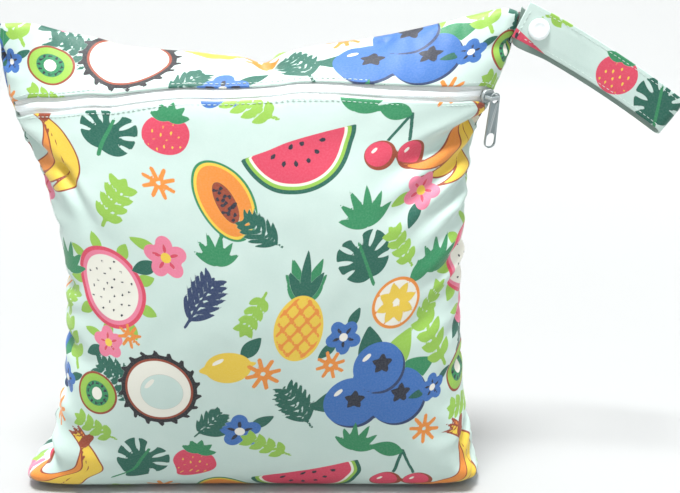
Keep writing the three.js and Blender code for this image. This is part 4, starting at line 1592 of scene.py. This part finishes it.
def stitch_row(name: str, line: np.ndarray, normals: np.ndarray, thread: bpy.types.Material,
               pitch: float, length: float, radius: float) -> bpy.types.Object:
    """Builds a row of stitches along a line on the cloth.

    Args:
        name: The piece's name.
        line: Points of the line in millimetres.
        normals: Outward directions there.
        thread: The thread's material.
        pitch: Distance from stitch to stitch.
        length: Length of a stitch.
        radius: Radius of the thread.

    Returns:
        The row as one piece.
    """
    run = np.concatenate([[0], np.linalg.norm(np.diff(line, axis=0), axis=1).cumsum()])
    work = bmesh.new()
    for middle in np.arange(pitch, run[-1] - pitch, pitch):
        spot, ahead, out = (
            np.array([np.interp(at, run, values[:, axis]) for axis in range(3)])
            for at, values in ((middle, line), (middle + 0.5, line), (middle, normals)))
        along = unit(ahead - spot)
        aside = unit(np.cross(out, along))
        out = np.cross(along, aside)
        frame_matrix = Matrix(np.stack([along, aside, out], axis=1).tolist()).to_4x4()
        size = Matrix.Diagonal((length / 2 * MM, radius * MM, radius * MM, 1))
        lift = Matrix.Translation(Vector(((spot + out * radius * 0.4) * MM).tolist()))
        bmesh.ops.create_uvsphere(work, u_segments=6, v_segments=4, radius=1, matrix=lift @ frame_matrix @ size)
    mesh = bpy.data.meshes.new(name)
    work.to_mesh(mesh)
    work.free()
    return add_object(name, mesh, thread)


def refined_copy(node: str, name: str, material: bpy.types.Material, bevel: float) -> bpy.types.Object:
    """Copies a hard piece and rounds its edges.

    Args:
        node: The frame's node.
        name: The new piece's name.
        material: Its material.
        bevel: Width of the rounded edges in millimetres.

    Returns:
        The new piece.
    """
    work = bmesh.new()
    work.from_mesh(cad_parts[node].data)
    bmesh.ops.remove_doubles(work, verts=work.verts, dist=0.02 * MM)
    bmesh.ops.dissolve_limit(work, angle_limit=math.radians(3), verts=work.verts, edges=work.edges)
    sharp = [edge for edge in work.edges if len(edge.link_faces) == 2 and edge.calc_face_angle(0) > math.radians(48)]
    bmesh.ops.bevel(work, geom=sharp, offset=bevel * MM, segments=2, profile=0.5, affect="EDGES",
                    material=-1, clamp_overlap=True)
    bmesh.ops.recalc_face_normals(work, faces=work.faces)
    mesh = bpy.data.meshes.new(name)
    work.to_mesh(mesh)
    work.free()
    piece = add_object(name, mesh, material)
    mesh.set_sharp_from_angle(angle=math.radians(40))
    return piece


@dataclass
class Strap:
    """The strap loop and its snap."""

    form: BagForm
    cloth: bpy.types.Material
    plastic: bpy.types.Material
    thread: bpy.types.Material
    printed: FruitPrint
    length: float = 104.5
    width: float = 22.0
    wall: float = 1.6
    gap: float = 5.6
    ahead: float = 3.0
    sag: float = 2.8
    start: tuple[float, float] = (150.0, 289.9)
    slope: float = math.radians(-26.4)
    turn: float = math.radians(-9.5)
    seam_clearance: float = 0.2

    @property
    def offset(self) -> float:
        """Distance of each layer's middle from the strap's middle plane."""
        return (self.gap + self.wall) / 2

    def heading(self, along: np.ndarray) -> np.ndarray:
        """Direction of the strap's middle line."""
        return self.slope + self.turn * along / self.length

    def line(self, along: np.ndarray) -> tuple[np.ndarray, np.ndarray]:
        """Middle line of the strap seen from the front.

        Args:
            along: Distances along the strap.

        Returns:
            Places across and up, in millimetres.
        """
        bend = self.turn / self.length
        heading = self.heading(along)
        return (self.start[0] + (np.sin(heading) - math.sin(self.slope)) / bend,
                self.start[1] - (np.cos(heading) - math.cos(self.slope)) / bend)

    def point(self, run: np.ndarray, aside: np.ndarray, outside: np.ndarray) -> np.ndarray:
        """Points of the folded band.

        Args:
            run: Distance along the band from its root.
            aside: Distance across it.
            outside: Distance out of its middle surface.

        Returns:
            Points in millimetres.
        """
        runs = 2 * self.length + math.pi * self.offset
        turn = np.clip((run - self.length) / self.offset, 0, math.pi)
        along = np.where(run < self.length, run, np.minimum(runs - run, self.length))
        heading = self.heading(along)
        x, z = self.line(along)
        past = (self.offset + outside) * np.sin(turn)
        sag = self.sag * (1 + np.cos(turn)) / 2
        out_x = x + past * np.cos(heading) - aside * np.sin(heading)
        out_z = z + past * np.sin(heading) + aside * np.cos(heading) - sag
        y = (self.offset + outside) * np.cos(turn) - self.ahead
        root = np.clip(1 - run / (self.length / 4), 0, 1) ** 2
        seam = self.form.half_width * SIDE_SEAMS.read("right", out_z / self.form.height) + self.seam_clearance
        free = smooth(run, self.length * 0.3, self.length * 0.7) * (1 - smooth(run, runs - 40, runs - 12))
        y = y + 0.5 * np.sin(run / 13 + 0.6) * free * np.where(turn > 1.6, 1, -1)
        return np.stack([out_x + (seam - out_x) * root, y, out_z], axis=-1)

    def band(self) -> bpy.types.Object:
        """Builds the band with rounded edges and closed ends.

        Returns:
            The band.
        """
        rows = 48
        mesh, u, v = sheet_grid("strap_loop_cloth", 330, rows)
        runs = 2 * self.length + math.pi * self.offset
        run = u * runs
        half_wide, half_thick = self.width / 2, self.wall / 2
        angle = v * math.tau
        square = 14
        radius = (np.abs(np.cos(angle)) ** square + np.abs(np.sin(angle)) ** square) ** (-1 / square)
        aside = -half_wide * np.clip(radius * np.cos(angle) * 1.0, -1, 1)
        flat = half_thick * np.clip(radius * np.sin(angle), -1, 1)
        puff = 1 - 0.35 * np.exp(-(((np.abs(aside) - half_wide + 2) / 1.1) ** 2))
        points = self.point(run, aside, flat * puff)
        place_points(mesh, points)
        places = np.stack([run + 35, aside + 60], axis=-1)
        write_uv(mesh, places)
        self.printed.paint(mesh, places)
        # Marks the inner faces, which the cloth paints darker, partly as painted shade between the layers.
        shaded_reverse = mesh.attributes.new("shaded_reverse", "FLOAT", "POINT")
        shaded_reverse.data.foreach_set("value", smooth(-flat, 0, half_thick))
        work = bmesh.new()
        work.from_mesh(mesh)
        bmesh.ops.remove_doubles(work, verts=work.verts, dist=0.01 * MM)
        bmesh.ops.holes_fill(work, edges=[edge for edge in work.edges if edge.is_boundary], sides=0)
        bmesh.ops.recalc_face_normals(work, faces=work.faces)
        work.to_mesh(mesh)
        work.free()
        return add_object("strap_loop_cloth", mesh, self.cloth)

    def edge_stitches(self, name: str, aside: float) -> bpy.types.Object:
        """Builds a row of stitches near one edge, on the outer face.

        Args:
            name: Its name.
            aside: Distance from the strap's middle line.

        Returns:
            The stitches.
        """
        runs = 2 * self.length + math.pi * self.offset
        run = np.linspace(2, runs - 3, 500)
        level = np.full_like(run, self.wall / 2 * 0.66)
        line = self.point(run, np.full_like(run, aside), level)
        out = unit(self.point(run, np.full_like(run, aside), level + 1) - line)
        return stitch_row(name, line, out, self.thread, 3.0, 2.2, 0.2)

    def end_stitches(self) -> bpy.types.Object:
        """Builds the stitches across the free end.

        Returns:
            The stitches.
        """
        runs = 2 * self.length + math.pi * self.offset
        aside = np.linspace(-self.width / 2 + 1, self.width / 2 - 1, 80)
        run = np.full_like(aside, runs - 2.5)
        level = np.full_like(aside, self.wall / 2)
        line = self.point(run, aside, level)
        out = unit(self.point(run, aside, level + 1) - line)
        return stitch_row("strap_stitches_end", line, out, self.thread, 3.0, 2.2, 0.25)

    def cap(self, name: str, front: bool) -> bpy.types.Object:
        """Builds one snap cap by spinning its section.

        Args:
            name: Its name.
            front: Whether it lies on the front layer.

        Returns:
            The cap.
        """
        low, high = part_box("snap_cap" if front else "snap_back_cap")
        centre = (Vector(low) + Vector(high)) / 2
        radius, height = (high[0] - low[0]) / 2, high[1] - low[1]
        section = ((0, 0), (1, 0), (1, 0.18), (0.985, 0.42), (0.93, 0.68), (0.84, 0.88), (0.74, 0.98), (0.64, 0.99),
                   (0.56, 0.93), (0.5, 0.86), (0.3, 0.84), (0, 0.84))
        work = bmesh.new()
        verts = [work.verts.new((share * radius, 0, rise * height)) for share, rise in section]
        edges = [work.edges.new(pair) for pair in zip(verts, verts[1:])]
        bmesh.ops.spin(work, geom=verts + edges, cent=(0, 0, 0), axis=(0, 0, 1), angle=math.tau, steps=48,
                       use_merge=True, dvec=(0, 0, 0))
        bmesh.ops.remove_doubles(work, verts=work.verts, dist=0.01 * MM)
        bmesh.ops.recalc_face_normals(work, faces=work.faces)
        out = Vector((0, -1, 0)) if front else Vector((0, 1, 0))
        foot = centre - out * height / 2
        turn = Vector((0, 0, 1)).rotation_difference(out).to_matrix().to_4x4()
        bmesh.ops.transform(work, matrix=Matrix.Translation(foot) @ turn, verts=work.verts)
        mesh = bpy.data.meshes.new(name)
        work.to_mesh(mesh)
        work.free()
        return add_object(name, mesh, self.plastic)

    def build(self) -> list[bpy.types.Object]:
        """Builds the strap and its snap.

        Returns:
            The pieces.
        """
        band = self.band()
        front_cap = self.cap("snap_cap_plastic", True)
        back_cap = self.cap("snap_back_cap_plastic", False)
        stud = refined_copy("snap_stud", "snap_stud_plastic", self.plastic, 0.4)
        rows = [self.edge_stitches("strap_stitches_upper", self.width / 2 - 2),
                self.edge_stitches("strap_stitches_lower", 2 - self.width / 2), self.end_stitches()]
        for piece, node, slot in ((band, "strap_loop", "printed_cloth"), (front_cap, "snap_cap", "snap_plastic"),
                                  (back_cap, "snap_back_cap", "snap_plastic"), (stud, "snap_stud", "snap_plastic")):
            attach(piece, ROOT_BODY)
            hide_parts(node)
        for piece in rows:
            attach(piece, ROOT_BODY)
        return [band, front_cap, back_cap, stud, *rows]


@dataclass(frozen=True)
class Studio:
    """Pale floor, soft light and the camera at the photo's angle."""

    aim: tuple[float, float, float] = (0.0458, 0.0, 0.152)
    distance: float = 0.62
    pitch: float = math.radians(16)
    focal_pixels: float = 1001.0
    frame_pixels: float = 680.0
    sensor: float = 36.0
    floor: tuple[float, float, float] = (0.37, 0.378, 0.378)
    wash_lights: int = 6

    def camera(self) -> None:
        """Places the camera."""
        camera = bpy.data.cameras.new("camera")
        camera.sensor_width = self.sensor
        camera.lens = self.focal_pixels / self.frame_pixels * self.sensor
        camera.clip_start = 0.01
        holder = bpy.data.objects.new("camera", camera)
        back = Vector((0, -math.cos(self.pitch), math.sin(self.pitch)))
        holder.location = Vector(self.aim) + back * self.distance
        holder.rotation_euler = (math.pi / 2 - self.pitch, 0, 0)
        bpy.context.scene.collection.objects.link(holder)
        bpy.context.scene.camera = holder

    def sweep(self) -> None:
        """Builds the round floor, curving up into a backdrop all round."""
        work = bmesh.new()
        reach, bend, rise = 3.6, 1.4, 2.6
        profile = [(0.0, 0.0), (reach - bend, 0.0)]
        profile += [(reach - bend + bend * math.sin(a), bend - bend * math.cos(a))
                    for a in np.linspace(0, math.pi / 2, 12)[1:]]
        profile += [(reach, rise)]
        verts = [work.verts.new((y, 0, z)) for y, z in profile]
        edges = [work.edges.new(pair) for pair in zip(verts, verts[1:])]
        bmesh.ops.spin(work, geom=verts + edges, cent=(0, 0, 0), axis=(0, 0, 1), angle=math.tau, steps=64,
                       use_merge=True, dvec=(0, 0, 0))
        bmesh.ops.remove_doubles(work, verts=work.verts, dist=0.0001)
        bmesh.ops.recalc_face_normals(work, faces=work.faces)
        mesh = bpy.data.meshes.new("studio_floor")
        work.to_mesh(mesh)
        work.free()
        nodes = Nodes("studio_floor")
        piece = add_object("studio_floor", mesh, nodes.finish(Base_Color=(*self.floor, 1), Roughness=0.9))

    def light(self, name: str, place: tuple[float, float, float], aim: tuple[float, float, float], size: float,
              watts: float) -> None:
        """Adds one soft light.

        Args:
            name: Its name.
            place: Where it hangs.
            aim: What it points at.
            size: Its width.
            watts: Its power.
        """
        lamp = bpy.data.lights.new(name, "AREA")
        lamp.energy = watts
        lamp.size = size
        holder = bpy.data.objects.new(name, lamp)
        holder.location = place
        holder.rotation_euler = (Vector(aim) - Vector(place)).to_track_quat("-Z", "Y").to_euler()
        bpy.context.scene.collection.objects.link(holder)

    def build(self) -> None:
        """Builds the whole stage."""
        self.camera()
        self.sweep()
        self.light("key_light", (-0.1, -0.38, 1.85), self.aim, 0.4, 50)
        self.light("side_light", (0.75, -1.8, 1.25), self.aim, 0.9, 4.0)
        self.light("top_light", (0.0, 0.9, 3.3), (0.0, 0.9, 0.0), 4.0, 99)
        for index in range(self.wash_lights):
            turn = math.tau * index / self.wash_lights
            self.light(f"wash_light_{index}", (1.7 * math.sin(turn), 1.7 * math.cos(turn), 1.9),
                       (3.0 * math.sin(turn), 3.0 * math.cos(turn), 0.5), 1.6, 52)
        world = bpy.data.worlds.new("soft_world")
        world.use_nodes = True
        world.node_tree.nodes["Background"].inputs[0].default_value = (1, 1, 1, 1)
        world.node_tree.nodes["Background"].inputs[1].default_value = 0.06
        bpy.context.scene.world = world
        bpy.context.scene.view_settings.view_transform = "Standard"


def main() -> None:
    """Builds the stage and the bag."""
    logging.basicConfig(level=logging.INFO, format="%(name)s: %(message)s")
    Studio().build()
    form = BagForm()
    printed = FruitPrint()
    cloth = PrintedCloth().build()
    tape = WovenTape().build()
    coil = MouldedPlastic("zip_chain", roughness=0.4).build()
    snap = MouldedPlastic("snap_plastic").build()
    metal = SatinMetal().build()
    thread = SewingThread().build()
    reliefs = FillSimulation(form).run()
    pieces = Cloth(form, cloth, printed, reliefs=reliefs).build()
    pieces += ZipFastener(form, tape, coil, metal, thread).build()
    pieces += Strap(form, cloth, snap, thread, printed).build()


if __name__ == "__main__":
    main()
